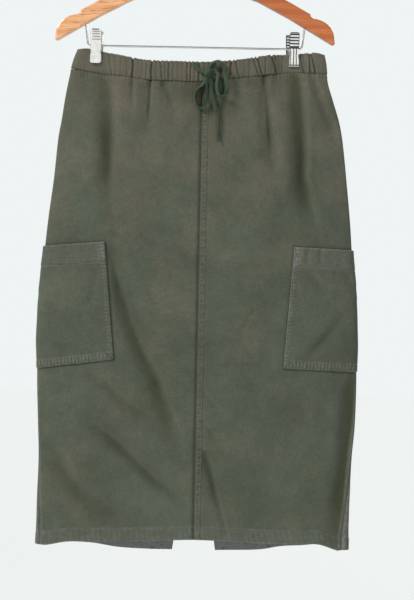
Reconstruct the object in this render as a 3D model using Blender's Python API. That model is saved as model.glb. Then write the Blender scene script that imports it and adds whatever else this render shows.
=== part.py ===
"""Cargo utility skirt, hung by its waistband from the two clips of a wooden hanger.

Metres, +Z up, front of the skirt towards -Y. The origin is the place inside the hanger's
hook that rests on a rail. Run with: blender --background --python part.py
"""

import math

import bmesh
import bpy
from mathutils import Vector

# ---------------------------------------------------------------- driving dimensions
GAP = 0.0003  # between two pieces that touch
SKIRT_X = 0.013  # the skirt's middle, and its centre seams, beside the hanger's middle
CLOTH = 0.0010  # wall of a panel
WAIST_SEAM_GAP = 0.0005
POCKET_WALL = 0.0012
POCKET_STANDOFF = 0.0008
FOLD_STARTS_OUTSIDE = 0.016  # beside a pocket, where the folds reach their full depth
WAISTBAND_WALL = 0.0024  # casing with its elastic
ROUNDED_END = 0.003  # how far from its side seams the waistband starts to thin

CLIP_X = 0.157
CLIP_WIDTH = 0.018
CLIP_TOP_Z = -0.173
CLIP_FOOT_Z = -0.2265
CLAMPED_DEPTH = WAISTBAND_WALL + GAP / 2  # half the skirt's depth between the jaws
CLAMP_FLAT = 0.0125  # half width that lies flat in a clip, and where that has faded out
CLAMP_FADE = 0.042
CLAMP_BELOW = 0.10  # how far under the waistband the clip still flattens the cloth

SLIT_TOP_Z = -0.765
SLIT_HALF_WIDTH = 0.0345  # at the hem
SIDE_SEAM_TIP = 90.0  # degrees round the section: 0 centre front, 90 side fold, 180 back
SIDE_SEAM_FORWARD = {-1: 73.0, 1: 68.0}  # left and right at the hem, rolled to the front
SEAM_ROLLS_FROM_Z = -0.80
SEAM_ROLLED_Z = -1.00

# The skirt's outline by height: how far it reaches left and right of SKIRT_X, and half
# its depth from front to back.
OUTLINE_COLUMNS = ("z", "left", "right", "depth")
OUTLINE = (
    (-0.195, 0.1965, 0.1920, 0.0122),
    (-0.222, 0.2070, 0.1980, 0.0124),
    (-0.250, 0.2135, 0.2012, 0.0128),
    (-0.283, 0.2195, 0.2112, 0.0142),
    (-0.315, 0.2240, 0.2210, 0.0155),
    (-0.347, 0.2292, 0.2270, 0.0165),
    (-0.410, 0.2348, 0.2344, 0.0175),
    (-0.475, 0.2426, 0.2412, 0.0180),
    (-0.540, 0.2487, 0.2462, 0.0185),
    (-0.600, 0.2536, 0.2517, 0.0190),
    (-0.667, 0.2556, 0.2544, 0.0190),
    (-0.730, 0.2558, 0.2560, 0.0185),
    (-0.800, 0.2531, 0.2547, 0.0180),
    (-0.860, 0.2508, 0.2500, 0.0172),
    (-0.923, 0.2517, 0.2480, 0.0164),
    (-1.010, 0.2532, 0.2480, 0.0160),
)

# Edges that run across the skirt: their height at places from -1, the left side, to 1.
WAIST_TOP = (
    (-1.00, -0.2045),
    (-0.92, -0.2030),
    (-0.75, -0.2094),
    (-0.45, -0.2208),
    (-0.20, -0.2222),
    (0.05, -0.2224),
    (0.30, -0.2178),
    (0.55, -0.2096),
    (0.75, -0.2060),
    (0.93, -0.2035),
    (1.00, -0.2060),
)
WAIST_SEAM = (
    (-1.00, -0.2343),
    (-0.87, -0.2397),
    (-0.71, -0.2445),
    (-0.60, -0.2472),
    (-0.387, -0.2531),
    (-0.20, -0.2538),
    (-0.05, -0.2543),
    (0.28, -0.2468),
    (0.42, -0.2440),
    (0.55, -0.2398),
    (0.70, -0.2355),
    (0.85, -0.2360),
    (1.00, -0.2370),
)
FRONT_HEM = (
    (-1.00, -0.9965),
    (-0.93, -0.9965),
    (-0.80, -0.9900),
    (-0.60, -0.9885),
    (-0.35, -0.9865),
    (0.00, -0.9825),
    (0.35, -0.9855),
    (0.60, -0.9870),
    (0.80, -0.9870),
    (0.92, -0.9965),
    (1.00, -0.9965),
)
BACK_HEM = (
    (-1.00, -0.9965),
    (-0.80, -0.9940),
    (-0.60, -0.9955),
    (-0.40, -1.0020),
    (-0.14, -1.0045),
    (0.15, -1.0035),
    (0.35, -1.0015),
    (0.50, -0.9958),
    (0.65, -0.9935),
    (0.80, -0.9908),
    (0.93, -0.9965),
    (1.00, -0.9965),
)

# The largest folds: each runs from a start to an end in X and Z, is wide at both ends as
# given, and lowers (+) or raises (-) the cloth along its middle by its depth.
FOLD_COLUMNS = ("x0", "z0", "x1", "z1", "width0", "width1", "depth")
FRONT_FOLDS = (
    (0.108, -0.253, 0.128, -0.400, 0.009, 0.014, 0.0040),  # crease under the right gathers
    (0.160, -0.250, 0.192, -0.470, 0.013, 0.024, 0.0050),  # trough from the right clip
    (0.196, -0.255, 0.222, -0.350, 0.011, 0.013, 0.0030),
    (0.142, -0.255, 0.152, -0.420, 0.010, 0.016, -0.0020),
    (-0.148, -0.255, -0.120, -0.440, 0.012, 0.022, 0.0045),  # trough from the left clip
    (-0.076, -0.258, -0.073, -0.345, 0.009, 0.012, 0.0030),
    (-0.048, -0.258, -0.024, -0.320, 0.009, 0.012, 0.0025),
    (-0.110, -0.258, -0.098, -0.400, 0.010, 0.018, -0.0020),
    (0.066, -0.255, 0.078, -0.340, 0.010, 0.014, 0.0020),
    (-0.128, -0.520, -0.052, -0.730, 0.013, 0.015, 0.0045),  # long drag line, left pocket
    (-0.052, -0.730, -0.018, -0.830, 0.015, 0.013, 0.0035),
    (-0.155, -0.715, -0.055, -0.800, 0.015, 0.013, 0.0032),
    (-0.155, -0.785, -0.015, -0.915, 0.014, 0.013, 0.0040),
    (0.030, -0.850, 0.068, -0.950, 0.010, 0.016, 0.0040),
    (0.262, -0.740, 0.245, -1.000, 0.012, 0.018, 0.0042),  # hollow beside the right seam
)
BACK_FOLDS = (
    (-0.160, -0.250, -0.148, -0.450, 0.013, 0.022, 0.0045),
    (0.158, -0.250, 0.176, -0.470, 0.013, 0.024, 0.0045),
    (-0.092, -0.256, -0.084, -0.370, 0.010, 0.014, 0.0032),
    (0.082, -0.256, 0.092, -0.350, 0.010, 0.014, 0.0030),
    (-0.030, -0.258, -0.036, -0.330, 0.010, 0.013, 0.0024),
    (0.040, -0.258, 0.048, -0.340, 0.010, 0.013, 0.0026),
    (0.125, -0.560, 0.060, -0.760, 0.014, 0.016, 0.0040),
    (-0.118, -0.600, -0.070, -0.800, 0.014, 0.016, 0.0036),
    (-0.150, -0.800, -0.075, -0.960, 0.014, 0.018, 0.0034),
    (0.155, -0.820, 0.090, -0.960, 0.014, 0.018, 0.0034),
)

# Patch pockets over the side seams. Corners in X and Z on the front; the back edge is
# the front one seen through the skirt.
POCKET_TABLE_COLUMNS = ("side", "inner_top", "outer_top_z", "inner_foot", "outer_foot_z")
POCKETS = (
    (-1, (-0.1370, -0.5120), -0.5200, (-0.1190, -0.6985), -0.7155),
    (1, (0.1640, -0.5150), -0.5180, (0.1500, -0.7080), -0.7120),
)

# Rows of a panel, as shares of its height from the waistband down, and columns, as
# shares of the way from the centre seam to where the side fold starts.
PANEL_ROWS = (0, 0.035, 0.08, 0.135, 0.20, 0.265, 0.33, 0.40, 0.47, 0.54, 0.61, 0.68,
              0.75, 0.83, 0.915, 1)
FRONT_COLUMNS = 12
BACK_COLUMNS = 9
SIDE_FOLD_STARTS = 60.0  # degrees round the section
SIDE_FOLD_COLUMNS = 4
SNAP = 0.00002  # a cut this near a point of the panel goes through the point

# ---------------------------------------------------------------- hanger
WOOD_THICKNESS = 0.012
WOOD_BEVEL = 0.0022
WIRE_RADIUS = 0.0016
HOOK_WIRE_RADIUS = 0.0019
HOOK_RADIUS = 0.0225  # to the middle of the wire
HOOK_STEM_FOOT_Z = -0.084
BAR_Z = -0.198
BAR_END_X = 0.1715
BAR_BEND = 0.006
BAR_INTO_WOOD_X = 0.1760
BAR_INTO_WOOD_Z = -0.1540
JAW_THICKNESS = 0.0010
SPRING_RADIUS = 0.0040
SPRING_LENGTH = 0.0130

# ---------------------------------------------------------------- drawstring
CORD_RADIUS = 0.0019  # as much cloth as the flat 7 x 1.6 mm tape
KNOT = Vector((0.0215, -0.0166, -0.2405))
KNOT_SIZE = Vector((0.0125, 0.0070, 0.0120))
KNOT_CLEARANCE = 0.0008  # from the knot to the flat end of each cord


# ---------------------------------------------------------------- small helpers
def clear_scene():
    for obj in list(bpy.data.objects):
        bpy.data.objects.remove(obj)


def material(name, colour, roughness, metallic=0.0):
    made = bpy.data.materials.new(name)
    made.use_nodes = True
    shader = made.node_tree.nodes["Principled BSDF"]
    shader.inputs["Base Color"].default_value = (*colour, 1)
    shader.inputs["Roughness"].default_value = roughness
    shader.inputs["Metallic"].default_value = metallic
    return made


def smooth(start, end, value):
    """0 at start, 1 at end and beyond, with an S-shaped way between."""
    share = min(1.0, max(0.0, (value - start) / (end - start)))
    return share * share * (3 - 2 * share)


def mix(a, b, share):
    return a + (b - a) * share


def read_table(rows, column, place):
    """A smooth curve through one column of a table, read at a place in its first."""
    keys = [row[0] for row in rows]
    falling = keys[0] > keys[-1]
    if falling:
        rows, place = [(-row[0], *row[1:]) for row in rows], -place
        keys = [row[0] for row in rows]
    place = min(keys[-1], max(keys[0], place))
    i = max(1, next((n for n, key in enumerate(keys) if key >= place), len(keys) - 1))
    before, a, b, after = (rows[min(max(n, 0), len(rows) - 1)] for n in (i - 2, i - 1, i, i + 1))
    step = b[0] - a[0]
    slope_a = (b[column] - before[column]) / (b[0] - before[0])
    slope_b = (after[column] - a[column]) / (after[0] - a[0])
    t = (place - a[0]) / step
    return (
        (2 * t**3 - 3 * t**2 + 1) * a[column]
        + (t**3 - 2 * t**2 + t) * step * slope_a
        + (3 * t**2 - 2 * t**3) * b[column]
        + (t**3 - t**2) * step * slope_b
    )


# ---------------------------------------------------------------- the skirt's form
def reach(side, z):
    return read_table(OUTLINE, 1 if side < 0 else 2, z)


def waist_top(place):
    return read_table(WAIST_TOP, 1, place)


def waist_foot(place):
    return read_table(WAIST_SEAM, 1, place)


def clamp_share(x, z, place):
    """1 where a clip holds the cloth flat, fading to 0 beside and below it."""
    beside = 1 - smooth(CLAMP_FLAT, CLAMP_FADE, abs(abs(x) - CLIP_X))
    below = 1 - smooth(0, CLAMP_BELOW, waist_foot(place) - z)
    return beside * below


def outside_pockets(x, z):
    """0 under a pocket, where two layers lie flat, rising to 1 a little way from it."""
    side = -1 if x < SKIRT_X else 1
    _, inner_top, outer_top_z, inner_foot, outer_foot_z = POCKETS[0 if side < 0 else 1]
    down = (z - inner_top[1]) / (inner_foot[1] - inner_top[1])
    edge_x = mix(inner_top[0], inner_foot[0], min(1.0, max(0.0, down)))
    across = abs(x - edge_x) / (reach(side, z) - abs(edge_x - SKIRT_X))
    top_z = mix(inner_top[1], outer_top_z, min(1.0, across))
    foot_z = mix(inner_foot[1], outer_foot_z, min(1.0, across))
    away = max(side * (edge_x - x), z - top_z, foot_z - z)
    return smooth(0.001, FOLD_STARTS_OUTSIDE, away)


def fold_relief(x, z, folds):
    """How far the folds push the cloth in at one place."""
    pushed = 0.0
    for x0, z0, x1, z1, width0, width1, depth in folds:
        along_x, along_z = x1 - x0, z1 - z0
        length2 = along_x**2 + along_z**2
        share = ((x - x0) * along_x + (z - z0) * along_z) / length2
        across = abs((x - x0) * along_z - (z - z0) * along_x) / math.sqrt(length2)
        width = mix(width0, width1, min(1.0, max(0.0, share)))
        fade = smooth(-0.12, 0.10, share) * (1 - smooth(0.72, 1.12, share))
        pushed += depth * fade * math.exp(-((across / width) ** 2))
    return pushed


def share_across(angle):
    """How far out of 1 a place round the section lies from the middle, signed."""
    sine = math.sin(math.radians(angle))
    return math.copysign(abs(sine) ** (2 / 3), sine)


def angle_at(share, facing):
    """Where round the section a share of the half width lies, front (-1) or back (1)."""
    angle = math.degrees(math.asin(min(1.0, share) ** 1.5))
    return angle if facing < 0 else 180 - angle


def section_point(side, angle, z):
    """A point of the skirt's outer face, its folds and clipped places included."""
    across = side * share_across(angle)
    x = SKIRT_X + across * reach(side, z)
    turn = math.cos(math.radians(angle))
    facing = -1 if turn >= 0 else 1
    depth = read_table(OUTLINE, 3, z) * abs(turn)
    near_side = smooth(0.0, 0.45, abs(turn))
    folds = FRONT_FOLDS if facing < 0 else BACK_FOLDS
    depth -= near_side * outside_pockets(x, z) * fold_relief(x, z, folds)
    depth = mix(depth, CLAMPED_DEPTH, clamp_share(x, z, across) * near_side)
    return Vector((x, facing * depth, z))


def section_normal(side, angle, z):
    """The outward direction there, level with the ground."""
    step = 0.6
    along = section_point(side, angle + step, z) - section_point(side, angle - step, z)
    return Vector((along.y, -along.x, 0)).normalized() * side


def side_seam_angle(side, z):
    rolled = smooth(SEAM_ROLLS_FROM_Z, SEAM_ROLLED_Z, z)
    return mix(SIDE_SEAM_TIP, SIDE_SEAM_FORWARD[side], rolled)


def seam_allowance(side, angle, z):
    """Half a gap, as an angle round the section."""
    step = 0.5
    near = section_point(side, angle, z) - section_point(side, angle - step, z)
    return step * (GAP / 2) / near.length


def closed_wall(name, outer, inner, shade):
    """A solid between two grids of points with the same rows and columns."""
    mesh = bmesh.new()
    rows, columns = len(outer), len(outer[0])
    faces = [[[mesh.verts.new(p) for p in row] for row in grid] for grid in (outer, inner)]
    out, back = faces
    for r in range(rows - 1):
        for c in range(columns - 1):
            mesh.faces.new((out[r][c], out[r][c + 1], out[r + 1][c + 1], out[r + 1][c]))
            mesh.faces.new((back[r][c], back[r + 1][c], back[r + 1][c + 1], back[r][c + 1]))
    for r in range(rows - 1):
        for c in (0, columns - 1):
            mesh.faces.new((out[r][c], out[r + 1][c], back[r + 1][c], back[r][c]))
    for c in range(columns - 1):
        for r in (0, rows - 1):
            mesh.faces.new((out[r][c], out[r][c + 1], back[r][c + 1], back[r][c]))
    bmesh.ops.recalc_face_normals(mesh, faces=mesh.faces)
    bmesh.ops.triangulate(mesh, faces=mesh.faces, quad_method="SHORT_EDGE")
    return add_mesh(name, mesh, shade)


def add_mesh(name, mesh, shade, smooth_angle=35):
    data = bpy.data.meshes.new(name)
    mesh.to_mesh(data)
    mesh.free()
    data.materials.append(shade)
    data.shade_smooth()
    data.set_sharp_from_angle(angle=math.radians(smooth_angle))
    obj = bpy.data.objects.new(name, data)
    bpy.context.scene.collection.objects.link(obj)
    return obj


# ---------------------------------------------------------------- panels
def slit_half_width(z):
    """Half the opening between the back panels at a height: a seam's gap above the slit."""
    down = max(0.0, (SLIT_TOP_Z - z) / (SLIT_TOP_Z - BACK_HEM[4][1]))
    return GAP / 2 + SLIT_HALF_WIDTH * min(1.05, down)


def panel_point(side, facing, column, columns, row_share):
    """(angle, z) of one grid point. Columns run from the centre seam to the side seam."""
    hem = FRONT_HEM if facing < 0 else BACK_HEM
    fold_share = share_across(SIDE_FOLD_STARTS)
    place = side * min(1.0, column / columns * fold_share)
    if column > columns:
        place = side * mix(fold_share, 1.0, (column - columns) / SIDE_FOLD_COLUMNS)
    top = waist_foot(place) - WAIST_SEAM_GAP
    z = mix(top, read_table(hem, 1, place), row_share)
    width = reach(side, z)
    opening = GAP / 2 if facing < 0 else slit_half_width(z)
    if column <= columns:
        share = mix(opening / width, fold_share, column / columns)
        return angle_at(share, facing), z
    seam = side_seam_angle(side, z)
    seam += facing * seam_allowance(side, seam, z)
    fold = SIDE_FOLD_STARTS if facing < 0 else 180 - SIDE_FOLD_STARTS
    return mix(fold, seam, (column - columns) / SIDE_FOLD_COLUMNS), z


def panel(name, side, facing, columns, shade):
    outer, inner = [], []
    for row_share in PANEL_ROWS:
        row = [
            panel_point(side, facing, column, columns, row_share)
            for column in range(columns + SIDE_FOLD_COLUMNS + 1)
        ]
        outer.append([section_point(side, angle, z) for angle, z in row])
        normals = [section_normal(side, angle, z) for angle, z in row[:-1]]
        seam_z = row[-1][1]
        normals.append(section_normal(side, side_seam_angle(side, seam_z), seam_z))
        inner.append([point - CLOTH * away for point, away in zip(outer[-1], normals)])
    return closed_wall(name, outer, inner, shade)


# ---------------------------------------------------------------- waistband
def waistband(name, facing, shade, columns=44, rows=2):
    """The gathered casing: front and back halves meet in a seam at each side."""
    outer, inner = [], []
    for r in range(rows + 1):
        out_row, in_row = [], []
        for c in range(columns + 1):
            spread = math.sin(math.radians(90 * (2 * c / columns - 1)))
            place = mix(2 * c / columns - 1, spread, 0.25)
            z = mix(waist_top(place), waist_foot(place), r / rows)
            side = -1 if place < 0 else 1
            half_width = reach(side, z)
            x = SKIRT_X + place * half_width
            depth = read_table(OUTLINE, 3, z) * math.sqrt(1 - abs(place) ** 3)
            depth = mix(depth, CLAMPED_DEPTH, clamp_share(x, z, place))
            to_end = half_width * (1 - abs(place))
            edge = 1 - smooth(0, ROUNDED_END, to_end)
            depth = max(depth, CLAMPED_DEPTH) - 0.5 * WAISTBAND_WALL * edge
            out_row.append(Vector((x, facing * depth, z)))
            in_row.append(Vector((x, facing * max(GAP / 2, depth - WAISTBAND_WALL), z)))
        outer.append(out_row)
        inner.append(in_row)
    return closed_wall(name, outer, inner, shade)


# ---------------------------------------------------------------- pockets
def thickened(surface, near, far):
    """A closed solid between two copies of a surface, moved out by near and by far."""
    solid = bmesh.new()
    inner, outer = (
        {vert: solid.verts.new(vert.co + away * vert.normal) for vert in surface.verts}
        for away in (near, far)
    )
    for face in surface.faces:
        solid.faces.new([outer[vert] for vert in face.verts])
        solid.faces.new([inner[vert] for vert in reversed(face.verts)])
    for edge in surface.edges:
        if edge.is_boundary:
            a, b = edge.verts
            solid.faces.new((inner[a], inner[b], outer[b], outer[a]))
    bmesh.ops.recalc_face_normals(solid, faces=solid.faces)
    return solid


def pocket(name, side, inner_top, outer_top_z, inner_foot, outer_foot_z, shade):
    """The part of both panels' faces inside the pocket's edges, moved out and thickened."""
    mesh = bmesh.new()
    grid = []
    for row_share in PANEL_ROWS:
        front = [
            panel_point(side, -1, column, FRONT_COLUMNS, row_share)
            for column in range(FRONT_COLUMNS + SIDE_FOLD_COLUMNS + 1)
        ]
        back = [
            panel_point(side, 1, column, BACK_COLUMNS, row_share)
            for column in range(BACK_COLUMNS + SIDE_FOLD_COLUMNS)
        ]
        grid.append([
            mesh.verts.new(section_point(side, angle, z)) for angle, z in front + back[::-1]
        ])
    for above, below in zip(grid, grid[1:]):
        for c in range(len(above) - 1):
            corners = (above[c], above[c + 1], below[c + 1], below[c])
            mesh.faces.new(corners if side < 0 else corners[::-1])
    bmesh.ops.triangulate(mesh, faces=mesh.faces, quad_method="SHORT_EDGE")
    side_x = SKIRT_X + side * reach(side, outer_top_z)
    corners = (
        inner_foot,
        inner_top,
        (side_x, outer_top_z),
        (side_x, outer_foot_z),
    )
    for (x0, z0), (x1, z1) in ((corners[0], corners[1]), (corners[1], corners[2]),
                               (corners[3], corners[0])):
        outward = Vector((z0 - z1, 0, x1 - x0)) * side
        bmesh.ops.bisect_plane(
            mesh, geom=[*mesh.verts, *mesh.edges, *mesh.faces], plane_co=(x0, 0, z0),
            plane_no=outward, clear_outer=True, dist=SNAP,
        )
    mesh.normal_update()
    solid = thickened(mesh, POCKET_STANDOFF, POCKET_STANDOFF + POCKET_WALL)
    mesh.free()
    return add_mesh(name, solid, shade)


# ---------------------------------------------------------------- hanger
def tube(name, points, radius, shade, resolution=2):
    """A round bar along a line of points, closed at both ends."""
    curve = bpy.data.curves.new(name, "CURVE")
    curve.dimensions = "3D"
    curve.bevel_depth = radius
    curve.bevel_resolution = resolution
    curve.use_fill_caps = True
    spline = curve.splines.new("POLY")
    spline.points.add(len(points) - 1)
    for at, point in zip(spline.points, points):
        at.co = (*point, 1)
        at.radius = 1
    curve.materials.append(shade)
    obj = bpy.data.objects.new(name, curve)
    bpy.context.scene.collection.objects.link(obj)
    return obj


def smooth_route(points, spacing):
    """Evenly spaced points along a smooth curve through a route's own points."""
    route = [Vector(p) for p in points]
    ends = [2 * route[0] - route[1], *route, 2 * route[-1] - route[-2]]
    fine = []
    steps = 12
    for i in range(1, len(ends) - 2):
        a, b, c, d = ends[i - 1 : i + 3]
        for n in range(steps):
            t = n / steps
            fine.append(
                0.5 * (2 * b + (c - a) * t + (2 * a - 5 * b + 4 * c - d) * t**2
                       + (3 * b - a - 3 * c + d) * t**3)
            )
    fine.append(route[-1])
    lengths = [0.0]
    for a, b in zip(fine, fine[1:]):
        lengths.append(lengths[-1] + (b - a).length)
    count = max(2, round(lengths[-1] / spacing))
    made, i = [], 0
    for n in range(count + 1):
        at = lengths[-1] * n / count
        while i < len(fine) - 2 and lengths[i + 1] < at:
            i += 1
        made.append(fine[i].lerp(fine[i + 1], (at - lengths[i]) / (lengths[i + 1] - lengths[i])))
    return made


def arc(centre, radius, start, end, steps):
    """Points of an arc in the XZ plane, angles in degrees from +X towards +Z."""
    cx, cz = centre
    made = []
    for n in range(steps + 1):
        angle = math.radians(mix(start, end, n / steps))
        made.append((cx + radius * math.cos(angle), 0.0, cz + radius * math.sin(angle)))
    return made


def half_wood_outline():
    """The left arm, from the crown's middle along the top to the tip and back below."""
    crown = [(0.0, -0.0640), (-0.014, -0.0650)]
    top = [(-0.052, -0.0790), (-0.100, -0.0985), (-0.1525, -0.1250), (-0.1840, -0.1425)]
    notch = [(-0.1852, -0.1468), (-0.1892, -0.1494), (-0.1932, -0.1496)]
    shoulder = [(x, z) for x, _, z in arc((-0.1890, -0.1850), 0.0352, 98, 172, 5)]
    tip = [(-0.2236, -0.1880), (-0.2205, -0.1912)]
    below = [(-0.1768, -0.1655), (-0.1507, -0.1500), (-0.1008, -0.1240), (-0.052, -0.1065),
             (-0.020, -0.0985), (0.0, -0.0970)]
    return crown + top + notch + shoulder[1:-1] + tip + below


def cylinder(name, radius, low, high, shade, segments=12):
    """A round bar between two points, for a cutter or a sleeve."""
    low, high = Vector(low), Vector(high)
    mesh = bmesh.new()
    bmesh.ops.create_cone(mesh, cap_ends=True, segments=segments, radius1=radius,
                          radius2=radius, depth=(high - low).length)
    obj = add_mesh(name, mesh, shade)
    obj.location = (low + high) / 2
    obj.rotation_mode = "QUATERNION"
    obj.rotation_quaternion = (high - low).to_track_quat("Z", "Y")
    return obj


def cut(obj, cutter):
    cutter.hide_render = True
    cutter.display_type = "WIRE"
    modifier = obj.modifiers.new("hole", "BOOLEAN")
    modifier.operation = "DIFFERENCE"
    modifier.object = cutter


def hanger_wood(shade):
    left = half_wood_outline()
    top_end = left.index((0.0, -0.0970))
    outline = left[: top_end + 1] + [(-x, z) for x, z in reversed(left[1:top_end])]
    mesh = bmesh.new()
    corners = [mesh.verts.new((x, -WOOD_THICKNESS / 2, z)) for x, z in outline]
    face = mesh.faces.new(corners)
    moved = bmesh.ops.extrude_face_region(mesh, geom=[face])["geom"]
    verts = [v for v in moved if isinstance(v, bmesh.types.BMVert)]
    bmesh.ops.translate(mesh, verts=verts, vec=(0, WOOD_THICKNESS, 0))
    bmesh.ops.recalc_face_normals(mesh, faces=mesh.faces)
    wood = add_mesh("hanger_wood", mesh, shade)
    bevel = wood.modifiers.new("rounded edges", "BEVEL")
    bevel.width = WOOD_BEVEL
    bevel.segments = 2
    bevel.limit_method = "ANGLE"
    bevel.angle_limit = math.radians(60)
    hole = HOOK_WIRE_RADIUS + GAP
    cut(wood, cylinder("hook_hole", hole, (0, 0, HOOK_STEM_FOOT_Z - GAP), (0, 0, -0.05), shade))
    for side in (-1, 1):
        direction = bar_end_direction(side)
        top = Vector((side * BAR_INTO_WOOD_X, 0, BAR_INTO_WOOD_Z))
        cutter = cylinder(f"bar_hole_{side}", WIRE_RADIUS + GAP, top - direction * 0.03,
                          top + direction * GAP, shade)
        cut(wood, cutter)
    return wood


def bar_end_direction(side):
    return (Vector((side * BAR_INTO_WOOD_X, 0, BAR_INTO_WOOD_Z))
            - Vector((side * BAR_END_X, 0, BAR_Z + BAR_BEND))).normalized()


def hanger_hook(shade):
    """The stem, a lead-in to the bow, and the bow over the rail."""
    centre_z = HOOK_WIRE_RADIUS - HOOK_RADIUS
    bow = arc((0.0, centre_z), HOOK_RADIUS, 205, -62, 16)
    stem = [(0.0055, 0, -0.0465), (0.0012, 0, -0.0520), (0, 0, -0.0580), (0, 0, HOOK_STEM_FOOT_Z)]
    return tube("hanger_hook", bow + stem, HOOK_WIRE_RADIUS, shade)


def hanger_bar(shade):
    """One wire: down out of the wood, across, and up again."""
    def end(side):
        steps = 4
        bend = [
            (
                side * (BAR_END_X - BAR_BEND + BAR_BEND * math.cos(math.radians(90 * n / steps))),
                0,
                BAR_Z + BAR_BEND - BAR_BEND * math.sin(math.radians(90 * n / steps)),
            )
            for n in range(steps + 1)
        ]
        return [(side * BAR_INTO_WOOD_X, 0, BAR_INTO_WOOD_Z), *bend]

    return tube("hanger_bar", end(-1) + list(reversed(end(1))), WIRE_RADIUS, shade)


def clip_jaw(name, x, facing, shade):
    """A pressed plate: finger grip at the top, flat grip on the waistband, turned lip."""
    grip_y = CLAMPED_DEPTH + GAP
    profile = (
        (0.0098, CLIP_TOP_Z),
        (SPRING_RADIUS + GAP, BAR_Z + 0.004),
        (SPRING_RADIUS + GAP, BAR_Z - 0.004),
        (grip_y, -0.2085),
        (grip_y, CLIP_FOOT_Z + 0.002),
        (grip_y + 0.0016, CLIP_FOOT_Z),
    )
    outer, inner = [], []
    for i, (depth, z) in enumerate(profile):
        extra = JAW_THICKNESS * (1.12 if 0 < i < len(profile) - 1 else 1.0)
        row = []
        for share in (-1, 1):
            row.append(Vector((x + share * CLIP_WIDTH / 2, facing * (depth + extra), z)))
        outer.append(row)
        inner.append([Vector((p.x, facing * depth, p.z)) for p in row])
    return closed_wall(name, outer, inner, shade)


def clip_spring(name, x, shade):
    """The coil round the bar, as a sleeve with the bar through it."""
    ends = ((x - SPRING_LENGTH / 2, 0, BAR_Z), (x + SPRING_LENGTH / 2, 0, BAR_Z))
    sleeve = cylinder(name, SPRING_RADIUS, *ends, shade, segments=16)
    hole = cylinder(name + "_hole", WIRE_RADIUS + GAP, (x - SPRING_LENGTH, 0, BAR_Z),
                    (x + SPRING_LENGTH, 0, BAR_Z), shade, segments=16)
    cut(sleeve, hole)
    return sleeve


# ---------------------------------------------------------------- drawstring
def knot(shade):
    mesh = bmesh.new()
    bmesh.ops.create_uvsphere(mesh, u_segments=12, v_segments=8, radius=0.5)
    bmesh.ops.scale(mesh, vec=KNOT_SIZE, verts=mesh.verts)
    obj = add_mesh("drawstring_knot", mesh, shade, smooth_angle=80)
    obj.location = KNOT
    return obj


def at_knot(degrees, y):
    """Two points straight out of the knot: near its face, and a little further.

    The direction is in degrees from +X towards +Z, with a share of +Y.
    """
    turn = math.radians(degrees)
    direction = Vector((math.cos(turn), y, math.sin(turn))).normalized()
    spread = Vector(2 * direction[i] / KNOT_SIZE[i] for i in range(3))
    face = 1 / spread.length
    return (KNOT + direction * (face + KNOT_CLEARANCE), KNOT + direction * (face + 0.004))


# Each length of cord: the points of its route, from the casing or the knot to its end.
CORD_ROUTES = {
    "drawstring_lead_left": (
        (-0.0010, -0.0148, -0.2262), (0.0040, -0.0154, -0.2325), (0.0090, -0.0158, -0.2375),
        *at_knot(175, 0.1)[::-1],
    ),
    "drawstring_lead_right": (
        (0.0330, -0.0154, -0.2262), *at_knot(45, 0.05)[::-1],
    ),
    "drawstring_loop_left": (
        *at_knot(270, -0.3), (0.0200, -0.0205, -0.2590), (0.0207, -0.0205, -0.2740),
        (0.0198, -0.0203, -0.2880), (0.0150, -0.0198, -0.2962), (0.0085, -0.0195, -0.2980),
        (0.0028, -0.0190, -0.2920), (0.0006, -0.0185, -0.2820), (0.0019, -0.0178, -0.2724),
        (0.0066, -0.0170, -0.2655), (0.0125, -0.0162, -0.2608), (0.0160, -0.0160, -0.2555),
        *at_knot(238, 0.05)[::-1],
    ),
    "drawstring_loop_right": (
        *at_knot(80, -0.3), (0.0262, -0.0207, -0.2281), (0.0306, -0.0213, -0.2249),
        (0.0374, -0.0217, -0.2232), (0.0439, -0.0221, -0.2268), (0.0481, -0.0225, -0.2379),
        (0.0508, -0.0226, -0.2522), (0.0523, -0.0226, -0.2650), (0.0508, -0.0224, -0.2746),
        (0.0449, -0.0222, -0.2792), (0.0385, -0.0220, -0.2760), (0.0356, -0.0217, -0.2653),
        (0.0364, -0.0213, -0.2520), (0.0370, -0.0207, -0.2440), *at_knot(14, -0.22)[::-1],
    ),
    "drawstring_tail_right": (
        *at_knot(345, 0.1), (0.0340, -0.0158, -0.2470), (0.0398, -0.0160, -0.2560),
        (0.0440, -0.0164, -0.2680), (0.0456, -0.0168, -0.2800), (0.0440, -0.0172, -0.2905),
        (0.0408, -0.0176, -0.3003), (0.0397, -0.0182, -0.3101), (0.0400, -0.0188, -0.3229),
        (0.0407, -0.0192, -0.3357), (0.0422, -0.0196, -0.3508),
    ),
    "drawstring_tail_left": (
        *at_knot(303, 0.0), (0.0264, -0.0174, -0.2580), (0.0270, -0.0180, -0.2680),
        (0.0286, -0.0188, -0.2780), (0.0308, -0.0194, -0.2870), (0.0335, -0.0202, -0.2945),
        (0.0360, -0.0208, -0.3005),
    ),
}


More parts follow.
